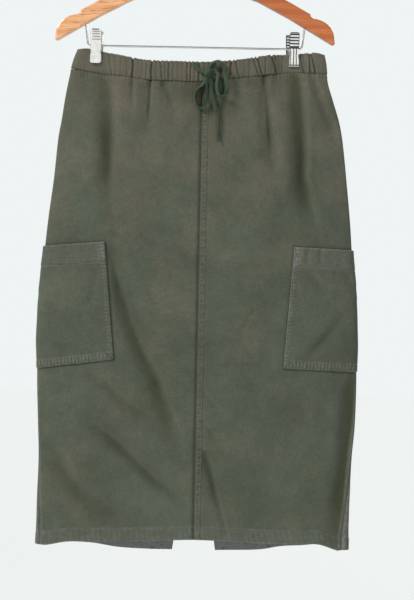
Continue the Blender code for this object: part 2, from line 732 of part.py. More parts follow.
def main():
    clear_scene()
    cloth = material("olive_cotton", (0.10, 0.11, 0.075), 0.9)
    trim = material("olive_trim", (0.055, 0.075, 0.05), 0.9)
    wood = material("lacquered_wood", (0.60, 0.27, 0.08), 0.35)
    metal = material("bright_metal", (0.75, 0.76, 0.74), 0.25, 1.0)

    panel("front_left", -1, -1, FRONT_COLUMNS, cloth)
    panel("front_right", 1, -1, FRONT_COLUMNS, cloth)
    panel("back_left", -1, 1, BACK_COLUMNS, cloth)
    panel("back_right", 1, 1, BACK_COLUMNS, cloth)
    waistband("waistband_front", -1, cloth)
    waistband("waistband_back", 1, cloth)
    for side, *corners in POCKETS:
        pocket("pocket_left" if side < 0 else "pocket_right", side, *corners, cloth)

    knot(trim)
    for name, route in CORD_ROUTES.items():
        tube(name, smooth_route(route, 4 * CORD_RADIUS), CORD_RADIUS, trim)

    hanger_wood(wood)
    hanger_hook(metal)
    hanger_bar(metal)
    for side, word in ((-1, "left"), (1, "right")):
        clip_jaw(f"clip_{word}_front_jaw", side * CLIP_X, -1, metal)
        clip_jaw(f"clip_{word}_back_jaw", side * CLIP_X, 1, metal)
        clip_spring(f"clip_{word}_spring", side * CLIP_X, metal)


main()
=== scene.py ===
"""The look of a cargo utility skirt on a clip hanger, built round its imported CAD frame."""

import math
from types import SimpleNamespace

import bpy
import numpy as np
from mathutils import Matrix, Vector, noise
from mathutils.bvhtree import BVHTree


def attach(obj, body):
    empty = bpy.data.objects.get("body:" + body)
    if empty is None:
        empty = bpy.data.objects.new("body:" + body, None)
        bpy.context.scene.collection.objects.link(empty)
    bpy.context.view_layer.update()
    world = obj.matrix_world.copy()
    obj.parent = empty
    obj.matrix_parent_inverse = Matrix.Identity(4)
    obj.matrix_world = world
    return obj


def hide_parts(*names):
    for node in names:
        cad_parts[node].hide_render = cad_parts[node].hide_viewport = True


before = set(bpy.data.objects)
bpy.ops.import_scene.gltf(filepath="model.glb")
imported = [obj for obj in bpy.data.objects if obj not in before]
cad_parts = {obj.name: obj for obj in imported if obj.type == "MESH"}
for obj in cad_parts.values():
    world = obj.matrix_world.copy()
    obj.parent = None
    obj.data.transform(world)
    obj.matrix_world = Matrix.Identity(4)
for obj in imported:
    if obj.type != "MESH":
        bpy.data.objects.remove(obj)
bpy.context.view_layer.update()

# ---------------------------------------------------------------- the cloth's form, as in CAD
SKIRT_X = 0.013
CLIP_X = 0.157
CLIP_HALF = 0.009
CLOTH = 0.0009
BAND_WALL = 0.0024
CLAMPED = BAND_WALL + 0.00015
POCKET_OUT = 0.0011
POCKET_WALL = 0.0010
SLIT_TOP = -0.765
SLIT_HEIGHT = 0.2395
SLIT_HALF = 0.0345
SEAM_GAP = 0.00012
HEM_DEPTH = 0.021
POCKET_HEM = 0.031
# Where each side seam lies at the hem, in degrees round from the front: higher up it is at 90
SIDE_SEAM_FORWARD = {-1: 73.0, 1: 68.0}

# Rows of topstitching, as distances from the centre seam, the slit and a pocket's edges
SEAM_ROWS = (0.0030, 0.0088)
SLIT_ROW = 0.0185
POCKET_EDGE_ROWS = (0.0016, 0.0080)
POCKET_FOOT_ROWS = (0.0018, 0.0120)
PUCKER_PITCH = 0.0056
LADDER_PITCH = 0.0042

# z, reach left of SKIRT_X, reach right of it, half depth
OUTLINE = np.array((
    (-0.195, 0.1965, 0.1920, 0.0122),
    (-0.222, 0.2070, 0.1980, 0.0124),
    (-0.250, 0.2135, 0.2012, 0.0128),
    (-0.283, 0.2195, 0.2112, 0.0142),
    (-0.315, 0.2240, 0.2210, 0.0155),
    (-0.347, 0.2292, 0.2270, 0.0165),
    (-0.410, 0.2348, 0.2344, 0.0175),
    (-0.475, 0.2426, 0.2412, 0.0180),
    (-0.540, 0.2487, 0.2462, 0.0185),
    (-0.600, 0.2536, 0.2517, 0.0190),
    (-0.667, 0.2556, 0.2544, 0.0190),
    (-0.730, 0.2558, 0.2560, 0.0185),
    (-0.800, 0.2531, 0.2547, 0.0180),
    (-0.860, 0.2508, 0.2500, 0.0172),
    (-0.923, 0.2517, 0.2480, 0.0164),
    (-1.010, 0.2532, 0.2480, 0.0160),
))
# place from -1 (left side) to 1 (right side), z
WAIST_TOP = np.array((
    (-1.00, -0.2045), (-0.92, -0.2030), (-0.75, -0.2094), (-0.45, -0.2208),
    (-0.20, -0.2222), (0.05, -0.2224), (0.30, -0.2178), (0.55, -0.2096),
    (0.75, -0.2060), (0.93, -0.2035), (1.00, -0.2060),
))
WAIST_SEAM = np.array((
    (-1.00, -0.2343), (-0.87, -0.2397), (-0.71, -0.2445), (-0.60, -0.2472),
    (-0.387, -0.2531), (-0.20, -0.2538), (-0.05, -0.2543), (0.28, -0.2468),
    (0.42, -0.2440), (0.55, -0.2398), (0.70, -0.2355), (0.85, -0.2360),
    (1.00, -0.2370),
))
FRONT_HEM = np.array((
    (-1.00, -0.9965), (-0.93, -0.9965), (-0.80, -0.9900), (-0.60, -0.9885),
    (-0.35, -0.9865), (0.00, -0.9825), (0.35, -0.9855), (0.60, -0.9870),
    (0.80, -0.9870), (0.92, -0.9965), (1.00, -0.9965),
))
BACK_HEM = np.array((
    (-1.00, -0.9965), (-0.80, -0.9940), (-0.60, -0.9955), (-0.40, -1.0020),
    (-0.14, -1.0045), (0.15, -1.0035), (0.35, -1.0015), (0.50, -0.9958),
    (0.65, -0.9935), (0.80, -0.9908), (0.93, -0.9965), (1.00, -0.9965),
))
# inner top x and z, outer top z, inner foot x and z, outer foot z
POCKETS = {
    -1: (-0.1370, -0.5120, -0.5200, -0.1190, -0.6985, -0.7155),
    1: (0.1640, -0.5150, -0.5180, 0.1500, -0.7080, -0.7120),
}
# The large folds, as in CAD: x0, z0, x1, z1, width0, width1, depth
FRONT_FOLDS = (
    (0.108, -0.253, 0.128, -0.400, 0.009, 0.014, 0.0040),
    (0.160, -0.250, 0.192, -0.470, 0.013, 0.024, 0.0050),
    (0.196, -0.255, 0.222, -0.350, 0.011, 0.013, 0.0030),
    (0.142, -0.255, 0.152, -0.420, 0.010, 0.016, -0.0020),
    (-0.148, -0.255, -0.120, -0.440, 0.012, 0.022, 0.0045),
    (-0.076, -0.258, -0.073, -0.345, 0.009, 0.012, 0.0030),
    (-0.048, -0.258, -0.024, -0.320, 0.009, 0.012, 0.0025),
    (-0.110, -0.258, -0.098, -0.400, 0.010, 0.018, -0.0020),
    (0.066, -0.255, 0.078, -0.340, 0.010, 0.014, 0.0020),
    (-0.128, -0.520, -0.052, -0.730, 0.013, 0.015, 0.0045),
    (-0.052, -0.730, -0.018, -0.830, 0.015, 0.013, 0.0035),
    (-0.155, -0.715, -0.055, -0.800, 0.015, 0.013, 0.0032),
    (-0.155, -0.785, -0.015, -0.915, 0.014, 0.013, 0.0040),
    (0.030, -0.850, 0.068, -0.950, 0.010, 0.016, 0.0040),
    (0.262, -0.740, 0.245, -1.000, 0.012, 0.018, 0.0042),
)
BACK_FOLDS = (
    (-0.160, -0.250, -0.148, -0.450, 0.013, 0.022, 0.0045),
    (0.158, -0.250, 0.176, -0.470, 0.013, 0.024, 0.0045),
    (-0.092, -0.256, -0.084, -0.370, 0.010, 0.014, 0.0032),
    (0.082, -0.256, 0.092, -0.350, 0.010, 0.014, 0.0030),
    (-0.030, -0.258, -0.036, -0.330, 0.010, 0.013, 0.0024),
    (0.040, -0.258, 0.048, -0.340, 0.010, 0.013, 0.0026),
    (0.125, -0.560, 0.060, -0.760, 0.014, 0.016, 0.0040),
    (-0.118, -0.600, -0.070, -0.800, 0.014, 0.016, 0.0036),
    (-0.150, -0.800, -0.075, -0.960, 0.014, 0.018, 0.0034),
    (0.155, -0.820, 0.090, -0.960, 0.014, 0.018, 0.0034),
)

# ---------------------------------------------------------------- creases, listed one by one
# What every crease's depth, and every gather's in the band and under it, is multiplied by
CREASE_DEPTH = 1.55
BAND_GATHER_DEPTH = 1.7
PANEL_GATHER_DEPTH = 1.25
# Each: depth, half width on its left or lower side and on the other side, the share of its
# depth where it starts, how much the other side stands proud, and its route in x and z.
FRONT_CREASES = (
    (0.0027, 0.0120, 0.0060, 0.9, 0.3, ((-0.143, -0.258), (-0.134, -0.295), (-0.133, -0.349),
        (-0.134, -0.418), (-0.128, -0.466), (-0.117, -0.498))),
    (0.0018, 0.0019, 0.0016, 0.9, 0.5, ((-0.070, -0.251), (-0.070, -0.283), (-0.071, -0.321))),
    (0.0013, 0.0036, 0.0030, 0.9, 0.3, ((-0.049, -0.259), (-0.038, -0.280), (-0.030, -0.301))),
    (0.0007, 0.0020, 0.0020, 0.9, 0.3, ((-0.098, -0.256), (-0.096, -0.292))),
    (0.0013, 0.0030, 0.0025, 0.9, 0.4, ((-0.127, -0.498), (-0.103, -0.508), (-0.091, -0.519))),
    (0.0007, 0.0045, 0.0035, 0.4, 0.3, ((-0.079, -0.502), (-0.044, -0.528), (-0.017, -0.549),
        (-0.009, -0.570))),
    (0.0027, 0.0125, 0.0036, 0.6, 0.22, ((-0.132, -0.530), (-0.1125, -0.583), (-0.095, -0.638),
        (-0.073, -0.691), (-0.051, -0.723), (-0.040, -0.755), (-0.017, -0.807), (-0.009, -0.834))),
    (0.0020, 0.0062, 0.0036, 0.5, 0.25, ((-0.163, -0.725), (-0.131, -0.740), (-0.104, -0.766),
        (-0.077, -0.782), (-0.055, -0.797), (-0.028, -0.818), (-0.006, -0.834))),
    (0.0026, 0.0064, 0.0032, 0.5, 0.25, ((-0.145, -0.810), (-0.113, -0.831), (-0.091, -0.852),
        (-0.070, -0.872), (-0.048, -0.893), (-0.026, -0.909), (0.000, -0.924))),
    (0.0032, 0.0125, 0.0100, 0.6, 0.2, ((-0.220, -0.843), (-0.192, -0.886), (-0.165, -0.917),
        (-0.132, -0.938), (-0.089, -0.958), (-0.068, -0.963))),
    (0.0006, 0.0030, 0.0030, 0.6, 0.4, ((-0.058, -0.621), (-0.011, -0.615))),
    (0.0007, 0.0032, 0.0030, 0.6, 0.4, ((-0.052, -0.680), (-0.020, -0.679), (-0.004, -0.700))),
    (0.0020, 0.0020, 0.0060, 0.9, 0.3, ((0.110, -0.243), (0.116, -0.275), (0.119, -0.317), (0.123, -0.354),
        (0.126, -0.386))),
    (0.0012, 0.0050, 0.0045, 0.9, 0.2, ((0.129, -0.242), (0.127, -0.285))),
    (0.0014, 0.0070, 0.0060, 1.0, 0.1, ((0.095, -0.260), (0.099, -0.269))),
    (0.0038, 0.0130, 0.0050, 0.9, 0.4, ((0.160, -0.236), (0.167, -0.279), (0.173, -0.322), (0.176, -0.364),
        (0.175, -0.407), (0.186, -0.449), (0.197, -0.481), (0.203, -0.508))),
    (0.0024, 0.0048, 0.0040, 0.9, 0.4, ((0.185, -0.241), (0.1985, -0.273), (0.210, -0.299),
        (0.2235, -0.326), (0.229, -0.347))),
    (0.0009, 0.0070, 0.0060, 0.4, 0.2, ((0.126, -0.386), (0.143, -0.450), (0.160, -0.508))),
    (0.0007, 0.0045, 0.0040, 0.5, 0.3, ((0.026, -0.436), (0.064, -0.489))),
    (0.0013, 0.0050, 0.0045, 0.6, 0.4, ((0.019, -0.657), (0.045, -0.670), (0.073, -0.680))),
    (0.0007, 0.0032, 0.0030, 0.6, 0.4, ((0.083, -0.651), (0.104, -0.613))),
    (0.0011, 0.0032, 0.0028, 0.7, 0.4, ((0.021, -0.743), (0.043, -0.769), (0.053, -0.779))),
    (0.0010, 0.0060, 0.0050, 0.7, 0.2, ((0.033, -0.806), (0.055, -0.838))),
    (0.0014, 0.0030, 0.0028, 0.9, 0.4, ((0.033, -0.845), (0.055, -0.860))),
    (0.0020, 0.0044, 0.0030, 0.8, 0.2, ((0.028, -0.844), (0.039, -0.876), (0.048, -0.913), (0.059, -0.950),
        (0.066, -0.984))),
    (0.0036, 0.0110, 0.0045, 0.6, 0.3, ((0.260, -0.741), (0.258, -0.773), (0.2525, -0.837), (0.246, -0.901),
        (0.242, -0.949), (0.241, -0.985))),
)
# Painted shade on the front, where its cloth lies darker: broad soft bands along its folds and under the bow,
# with strength in place of depth.
FRONT_SHADES = (
    (1.25, 0.0066, 0.0036, 0.7, 0, ((0.262, -0.725), (0.260, -0.773), (0.2535, -0.837), (0.247, -0.901),
        (0.243, -0.949), (0.242, -0.985))),
    (0.55, 0.0150, 0.0060, 0.9, 0, ((0.164, -0.250), (0.172, -0.322), (0.176, -0.407), (0.190, -0.470),
        (0.203, -0.508))),
    (0.80, 0.0300, 0.0280, 1.0, 0, ((0.012, -0.262), (0.026, -0.325))),
    (0.40, 0.0150, 0.0080, 0.9, 0, ((-0.140, -0.262), (-0.134, -0.330), (-0.134, -0.418),
        (-0.124, -0.480))),
    (0.45, 0.0150, 0.0040, 0.8, 0, ((-0.112, -0.583), (-0.095, -0.638), (-0.073, -0.691), (-0.040, -0.755),
        (-0.014, -0.825))),
    (0.40, 0.0150, 0.0130, 0.7, 0, ((-0.220, -0.843), (-0.192, -0.886), (-0.165, -0.917), (-0.132, -0.938),
        (-0.089, -0.958))),
    (0.35, 0.0110, 0.0040, 0.6, 0, ((-0.145, -0.810), (-0.091, -0.852), (-0.048, -0.893),
        (-0.004, -0.922))),
    (0.45, 0.0030, 0.0018, 0.9, 0, ((-0.070, -0.251), (-0.070, -0.283), (-0.071, -0.321))),
    (0.45, 0.0040, 0.0060, 0.9, 0, ((0.110, -0.243), (0.119, -0.317), (0.126, -0.386))),
)
BACK_CREASES = (
    (0.0014, 0.0030, 0.0030, 0.9, 0.4, ((-0.118, -0.250), (-0.110, -0.300), (-0.112, -0.360))),
    (0.0013, 0.0026, 0.0024, 0.9, 0.5, ((0.070, -0.252), (0.078, -0.300), (0.074, -0.345))),
    (0.0022, 0.0080, 0.0050, 0.9, 0.3, ((0.120, -0.248), (0.128, -0.330), (0.124, -0.410))),
    (0.0026, 0.0100, 0.0050, 0.9, 0.4, ((-0.162, -0.240), (-0.168, -0.300), (-0.176, -0.380),
        (-0.190, -0.460))),
    (0.0010, 0.0024, 0.0020, 0.9, 0.4, ((-0.052, -0.256), (-0.058, -0.310))),
    (0.0022, 0.0080, 0.0032, 0.5, 0.5, ((0.140, -0.545), (0.110, -0.600), (0.084, -0.668),
        (0.058, -0.740))),
    (0.0020, 0.0070, 0.0032, 0.5, 0.5, ((-0.128, -0.590), (-0.100, -0.660), (-0.072, -0.735),
        (-0.050, -0.760))),
    (0.0020, 0.0065, 0.0032, 0.5, 0.4, ((0.150, -0.790), (0.118, -0.850), (0.070, -0.900))),
    (0.0018, 0.0065, 0.0032, 0.5, 0.4, ((-0.158, -0.770), (-0.120, -0.830), (-0.066, -0.880))),
    (0.0008, 0.0030, 0.0030, 0.6, 0.4, ((-0.030, -0.560), (0.000, -0.575))),
    (0.0008, 0.0030, 0.0030, 0.6, 0.4, ((0.030, -0.470), (0.052, -0.450))),
    (0.0009, 0.0028, 0.0028, 0.6, 0.4, ((0.026, -0.700), (0.048, -0.716))),
    (0.0018, 0.0110, 0.0100, 0.5, 0.2, ((-0.210, -0.820), (-0.190, -0.900), (-0.160, -0.970))),
)
POCKET_CREASES = {
    -1: (
        (0.0008, 0.0060, 0.0050, 0.5, 0.3, ((-0.236, -0.600), (-0.190, -0.640), (-0.150, -0.690))),
        (0.0007, 0.0050, 0.0050, 0.6, 0.3, ((-0.150, -0.560), (-0.160, -0.620))),
        (0.0008, 0.0040, 0.0040, 0.6, 0.4, ((-0.223, -0.672), (-0.185, -0.688))),
    ),
    1: (
        (0.0016, 0.0075, 0.0065, 0.6, 0.3, ((0.183, -0.697), (0.222, -0.653), (0.258, -0.605))),
        (0.0014, 0.0060, 0.0050, 0.7, 0.4, ((0.188, -0.556), (0.215, -0.587))),
        (0.0010, 0.0045, 0.0040, 0.7, 0.4, ((0.247, -0.555), (0.260, -0.586))),
        (0.0009, 0.0030, 0.0030, 1.0, 0.3, ((0.185, -0.520), (0.185, -0.545))),
        (0.0009, 0.0030, 0.0030, 1.0, 0.3, ((0.205, -0.520), (0.206, -0.545))),
    ),
}
# How strong the painted shade along the front's waist seam is, by x.
WAIST_SHADE = (
    (-0.190, 0.95), (-0.117, 0.95), (-0.110, 0.15), (-0.076, 0.15), (-0.069, 0.95), (0.050, 0.85),
    (0.125, 0.60), (0.136, 0.20), (0.168, 0.20), (0.174, 0.95), (0.180, 0.25), (0.186, 0.30),
    (0.191, 0.95), (0.198, 0.30), (0.220, 0.30),
)
# Grooves in the gathered waistband: x at its top, x at its seam, half width, depth, and how
# far the gather runs on down the panel.
FRONT_GATHERS = (
    (-0.158, -0.158, 0.0012, 0.0008, 0.010), (-0.137, -0.132, 0.0011, 0.0009, 0.016),
    (-0.127, -0.126, 0.0010, 0.0006, 0.006), (-0.118, -0.117, 0.0010, 0.0006, 0.008),
    (-0.108, -0.107, 0.0011, 0.0005, 0.010), (-0.098, -0.098, 0.0015, 0.0019, 0.030),
    (-0.090, -0.088, 0.0009, 0.0005, 0.006), (-0.083, -0.084, 0.0009, 0.0006, 0.008),
    (-0.077, -0.076, 0.0009, 0.0005, 0.010), (-0.068, -0.068, 0.0014, 0.0017, 0.040),
    (-0.061, -0.060, 0.0009, 0.0006, 0.008), (-0.055, -0.050, 0.0012, 0.0012, 0.020),
    (-0.048, -0.045, 0.0009, 0.0007, 0.014), (-0.041, -0.040, 0.0012, 0.0011, 0.012),
    (-0.033, -0.034, 0.0009, 0.0006, 0.008), (-0.026, -0.026, 0.0009, 0.0006, 0.010),
    (-0.019, -0.018, 0.0009, 0.0005, 0.010), (-0.0115, -0.011, 0.0011, 0.0012, 0.012),
    (-0.006, -0.0055, 0.0010, 0.0011, 0.012), (0.0005, 0.001, 0.0009, 0.0007, 0.008),
    (0.008, 0.008, 0.0013, 0.0013, 0.010), (0.017, 0.016, 0.0010, 0.0007, 0.008),
    (0.025, 0.026, 0.0010, 0.0009, 0.010), (0.034, 0.034, 0.0010, 0.0008, 0.008),
    (0.043, 0.042, 0.0010, 0.0008, 0.010), (0.051, 0.050, 0.0010, 0.0007, 0.008),
    (0.060, 0.055, 0.0015, 0.0017, 0.012), (0.064, 0.072, 0.0013, 0.0013, 0.012),
    (0.080, 0.079, 0.0010, 0.0005, 0.006), (0.088, 0.087, 0.0010, 0.0006, 0.008),
    (0.094, 0.102, 0.0013, 0.0013, 0.014), (0.099, 0.109, 0.0014, 0.0018, 0.036),
    (0.112, 0.114, 0.0011, 0.0009, 0.010), (0.123, 0.131, 0.0015, 0.0017, 0.016),
    (0.130, 0.127, 0.0010, 0.0008, 0.008), (0.140, 0.141, 0.0010, 0.0006, 0.010),
    (0.167, 0.175, 0.0013, 0.0015, 0.022), (0.173, 0.176, 0.0010, 0.0010, 0.010),
    (0.182, 0.186, 0.0013, 0.0017, 0.022), (0.186, 0.193, 0.0014, 0.0018, 0.026),
)


# ---------------------------------------------------------------- small numeric helpers
def curve(table, column, place):
    """A smooth curve through one column of a table, read at places in its first."""
    keys, values = table[:, 0], table[:, column]
    if keys[0] > keys[-1]:
        keys, place = -keys, -np.asarray(place)
    place = np.clip(place, keys[0], keys[-1])
    i = np.clip(np.searchsorted(keys, place), 1, len(keys) - 1)
    k0, k1 = keys[i - 1], keys[i]
    before, after = np.maximum(i - 2, 0), np.minimum(i + 1, len(keys) - 1)
    step = k1 - k0
    slope0 = (values[i] - values[before]) / (k1 - keys[before])
    slope1 = (values[after] - values[i - 1]) / (keys[after] - k0)
    t = (place - k0) / step
    return (
        (2 * t**3 - 3 * t**2 + 1) * values[i - 1]
        + (t**3 - 2 * t**2 + t) * step * slope0
        + (3 * t**2 - 2 * t**3) * values[i]
        + (t**3 - t**2) * step * slope1
    )


def smooth(start, end, value):
    share = np.clip((value - start) / (end - start), 0, 1)
    return share * share * (3 - 2 * share)


def mix(a, b, share):
    return a + (b - a) * share


def bell(value, width):
    return np.exp(-((value / width) ** 2))


def rough(x, y, z, scale, seed):
    """Smooth noise from -1 to 1 at every point of an array."""
    x, y, z = np.broadcast_arrays(x, y, z)
    flat = zip(x.ravel() / scale, y.ravel() / scale, z.ravel() / scale)
    made = [noise.noise(Vector((a + seed, b, c))) for a, b, c in flat]
    return np.array(made).reshape(x.shape)


def reach(side, z):
    return curve(OUTLINE, 1 if side < 0 else 2, z)


def hem_of(facing, place):
    return curve(FRONT_HEM if facing < 0 else BACK_HEM, 1, place)


def share_across(angle):
    return np.abs(np.sin(np.radians(angle))) ** (2 / 3)


def angle_at(share, facing):
    angle = np.degrees(np.arcsin(np.clip(share, 0, 1) ** 1.5))
    return angle if facing < 0 else 180 - angle


def side_seam_angle(side, z):
    return mix(90.0, SIDE_SEAM_FORWARD[side], smooth(-0.80, -1.00, z))


def clamp_share(x, z, place):
    beside = 1 - smooth(0.0125, 0.042, np.abs(np.abs(x) - CLIP_X))
    below = 1 - smooth(0, 0.10, curve(WAIST_SEAM, 1, place) - z)
    return beside * below


def pocket_edges(side, x, z):
    """How far a point lies inside a pocket's inner, top and foot edges, in metres."""
    inner_x, inner_z, outer_top, foot_x, foot_z, outer_foot = POCKETS[side]
    down = np.clip((z - inner_z) / (foot_z - inner_z), 0, 1)
    edge_x = mix(inner_x, foot_x, down)
    across = np.clip(side * (x - edge_x) / (reach(side, z) - abs(edge_x - SKIRT_X)), 0, 1)
    top_z = mix(inner_z, outer_top, across)
    low_z = mix(foot_z, outer_foot, across)
    return side * (x - edge_x), top_z - z, z - low_z


def outside_pockets(side, x, z):
    away = -np.minimum.reduce(pocket_edges(side, x, z))
    return smooth(0.001, 0.016, away)


def fold_relief(x, z, folds):
    pushed = np.zeros_like(x)
    for x0, z0, x1, z1, width0, width1, depth in folds:
        along = np.array((x1 - x0, z1 - z0))
        length2 = along @ along
        share = ((x - x0) * along[0] + (z - z0) * along[1]) / length2
        across = np.abs((x - x0) * along[1] - (z - z0) * along[0]) / math.sqrt(length2)
        width = mix(width0, width1, np.clip(share, 0, 1))
        fade = smooth(-0.12, 0.10, share) * (1 - smooth(0.72, 1.12, share))
        pushed += depth * fade * bell(across, width)
    return pushed


def crease_relief(x, z, creases):
    """Soft troughs along routes, each with one side standing a little proud."""
    pushed = np.zeros_like(x)
    for depth, lower, upper, start, proud, route in creases:
        route = np.array(route)
        steps = np.diff(route, axis=0)
        lengths = np.hypot(steps[:, 0], steps[:, 1])
        total, passed = lengths.sum(), 0.0
        best = np.full(x.shape, 1e3)
        signed, share = np.zeros_like(x), np.zeros_like(x)
        for (ax, az), (dx, dz), length in zip(route, steps, lengths):
            t = np.clip(((x - ax) * dx + (z - az) * dz) / length**2, 0, 1)
            ox, oz = x - ax - t * dx, z - az - t * dz
            away = np.hypot(ox, oz)
            nearer = away < best
            best = np.where(nearer, away, best)
            signed = np.where(nearer, np.sign(ox * dz - oz * dx) * away, signed)
            share = np.where(nearer, (passed + t * length) / total, share)
            passed += length
        fade = mix(start, 1.0, smooth(0, 0.3, share)) * (1 - 0.8 * smooth(0.6, 1, share))
        swell = 1 + 0.22 * np.sin(share * 9 + lower * 4000)
        width = np.where(signed > 0, lower, upper) * (1.25 + 0.20 * np.cos(share * 7))
        here = bell(best, width)
        lip = proud * bell(signed + 2.4 * upper, 1.4 * upper)
        pushed += CREASE_DEPTH * depth * fade * (here * swell - lip)
    return pushed


def gathers_at(gathers, x, down):
    """Grooves of the gathered casing at shares down it, from 0 at the top to 1."""
    pushed = np.zeros(np.broadcast(x, down).shape)
    for top_x, foot_x, width, depth, _ in gathers:
        middle = mix(top_x, foot_x, down) + 0.0006 * np.sin(down * 5 + top_x * 900)
        pinch = 0.72 + 0.28 * np.abs(2 * down - 1)
        across = x - middle
        pushed += BAND_GATHER_DEPTH * depth * pinch * (
            bell(across, width) - 0.28 * bell(np.abs(across) - 2.2 * width, width)
        )
    return pushed


def gathers_below(gathers, x, under):
    """The same gathers running on below the seam, wider and softer as they fade."""
    pushed = np.zeros_like(x)
    below = np.maximum(under, 0)
    for _, foot_x, width, depth, run in gathers:
        fade = np.exp(-below / (1.5 * run))
        pushed += PANEL_GATHER_DEPTH * depth * fade * bell(x - foot_x, 1.5 * width + 0.06 * below)
    return pushed


def make_back_gathers():
    """The back's own gathers: an uneven row of them, made from a fixed sequence."""
    rng = np.random.default_rng(7)
    made, x = [], -0.178
    while x < 0.196:
        deep = 0.0005 + 0.0014 * rng.random() ** 2.2
        held = abs(abs(x) - CLIP_X) < 0.012
        lean = 0.004 * (rng.random() - 0.5)
        if not held:
            made.append((x, x + lean, 0.0009 + 0.35 * deep, deep, 0.006 + 22 * deep * rng.random()))
        x += 0.0050 + 0.0065 * rng.random()
    return tuple(made)


BACK_GATHERS = make_back_gathers()


# ---------------------------------------------------------------- the cloth's surface
def skin(side, angle, z, creases=True):
    """Points of a panel's face, and how far each is pushed in."""
    shares = side * share_across(angle)
    x = SKIRT_X + shares * reach(side, z)
    turn = np.cos(np.radians(angle))
    front = turn >= 0
    flat = smooth(0.0, 0.45, np.abs(turn))
    free = outside_pockets(side, x, z)
    large = np.where(front, fold_relief(x, z, FRONT_FOLDS), fold_relief(x, z, BACK_FOLDS))
    pushed = large * free
    if creases:
        under = curve(WAIST_SEAM, 1, shares) - z
        fine = np.where(front, crease_relief(x, z, FRONT_CREASES), crease_relief(x, z, BACK_CREASES))
        gathered = np.where(
            front, gathers_below(FRONT_GATHERS, x, under), gathers_below(BACK_GATHERS, x, under)
        )
        pushed = pushed + fine * free + gathered
    full = curve(OUTLINE, 3, z) * np.abs(turn)
    depth = np.maximum(full - flat * pushed, np.minimum(full, 0.0022))
    depth = mix(depth, CLAMPED, clamp_share(x, z, shares) * flat)
    y = np.where(front, -depth, depth)
    return np.stack((x, y, z + 0 * x), axis=-1), pushed


def directions_out(side, angle, z):
    """Level unit directions out of the smooth section, without its creases."""
    step = 0.6
    along = skin(side, angle + step, z, False)[0] - skin(side, angle - step, z, False)[0]
    out = np.stack((along[..., 1], -along[..., 0], 0 * along[..., 0]), axis=-1) * side
    length = np.linalg.norm(out, axis=-1, keepdims=True)
    straight = np.zeros_like(out)
    straight[..., 1] = -np.sign(np.cos(np.radians(angle)))
    return np.where(length > 1e-9, out / np.maximum(length, 1e-9), straight)


def on_cloth(side, facing, x, z, out=0.0):
    """Points at x and z on a panel's creased face, and the directions out of it."""
    x, z = np.asarray(x, float), np.asarray(z, float)
    angle = angle_at(np.abs(x - SKIRT_X) / reach(side, z), facing)
    points, _ = skin(side, angle, z)
    away = directions_out(side, angle, z)
    return points + away * np.asarray(out)[..., None], away


# ---------------------------------------------------------------- meshes
def grid_piece(name, outer, inner, shade, fields=None, uv=None):
    """A closed shell between two grids of points. A field has one value, or two, for each place."""
    rows, columns = outer.shape[:2]
    count = rows * columns
    corners = np.arange(count).reshape(rows, columns)
    quads = np.stack(
        (corners[:-1, :-1], corners[:-1, 1:], corners[1:, 1:], corners[1:, :-1]), axis=-1
    ).reshape(-1, 4)
    sides = [quads, quads[:, ::-1] + count]
    edges = [
        (corners[0, :-1], corners[0, 1:]), (corners[-1, 1:], corners[-1, :-1]),
        (corners[1:, 0], corners[:-1, 0]), (corners[:-1, -1], corners[1:, -1]),
    ]
    for a, b in edges:
        sides.append(np.stack((b, a, a + count, b + count), axis=-1))
    faces = np.concatenate(sides)
    points = np.concatenate((outer.reshape(-1, 3), inner.reshape(-1, 3)))
    values = {
        key: value.ravel() if value.ndim == 3 else np.tile(value.ravel(), 2)
        for key, value in (fields or {}).items()
    }
    flat_uv = None if uv is None else np.tile(uv.reshape(-1, 2), (2, 1))
    return mesh_piece(name, points, faces, shade, values, flat_uv)


def placed(name, data):
    """A new object in the scene, holding a mesh, a lamp or a camera."""
    made = bpy.data.objects.new(name, data)
    bpy.context.scene.collection.objects.link(made)
    return made


def tube_faces(rows, count, first=0, ring=False):
    """Faces of a tube: rows of count points, numbered from first. A ring's ends meet; others are capped."""
    corners = first + np.arange(rows * count).reshape(rows, count)
    if ring:
        corners = np.concatenate((corners, corners[:1]))
    beside = np.roll(corners, -1, axis=1)
    quads = np.stack((corners[:-1], beside[:-1], beside[1:], corners[1:]), axis=-1)
    ends = [] if ring else [tuple(corners[0][::-1]), tuple(corners[-1])]
    return [tuple(quad) for quad in quads.reshape(-1, 4)] + ends


def mesh_piece(name, points, faces, shade, fields=None, uv=None, sharp=None):
    data = bpy.data.meshes.new(name)
    faces = [tuple(int(i) for i in face) for face in faces]
    data.from_pydata([tuple(p) for p in np.asarray(points, float)], [], faces)
    data.validate()
    for key, value in (fields or {}).items():
        data.attributes.new(key, "FLOAT", "POINT").data.foreach_set("value", np.asarray(value, "f"))
    if uv is not None:
        loops = np.empty(len(data.loops), "i")
        data.loops.foreach_get("vertex_index", loops)
        layer = data.uv_layers.new(name="UVMap")
        layer.data.foreach_set("uv", np.asarray(uv, "f")[loops].ravel())
    data.materials.append(shade)
    data.shade_smooth()
    if sharp:
        data.set_sharp_from_angle(angle=math.radians(sharp))
    piece = placed(name, data)
    turn_faces_out(piece)
    return piece


def turn_faces_out(piece):
    """Flips a closed mesh whose faces point in."""
    data = piece.data
    co = np.empty(len(data.vertices) * 3, "f")
    data.vertices.foreach_get("co", co)
    co = co.reshape(-1, 3)
    data.calc_loop_triangles()
    tris = np.empty(len(data.loop_triangles) * 3, "i")
    data.loop_triangles.foreach_get("vertices", tris)
    a, b, c = (co[tris.reshape(-1, 3)[:, i]] for i in range(3))
    volume = np.einsum("ij,ij->i", a, np.cross(b, c)).sum()
    if volume < 0:
        data.flip_normals()


def settle(piece, slot, *nodes):
    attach(piece, "root")
    if nodes:
        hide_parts(*nodes)
    return piece


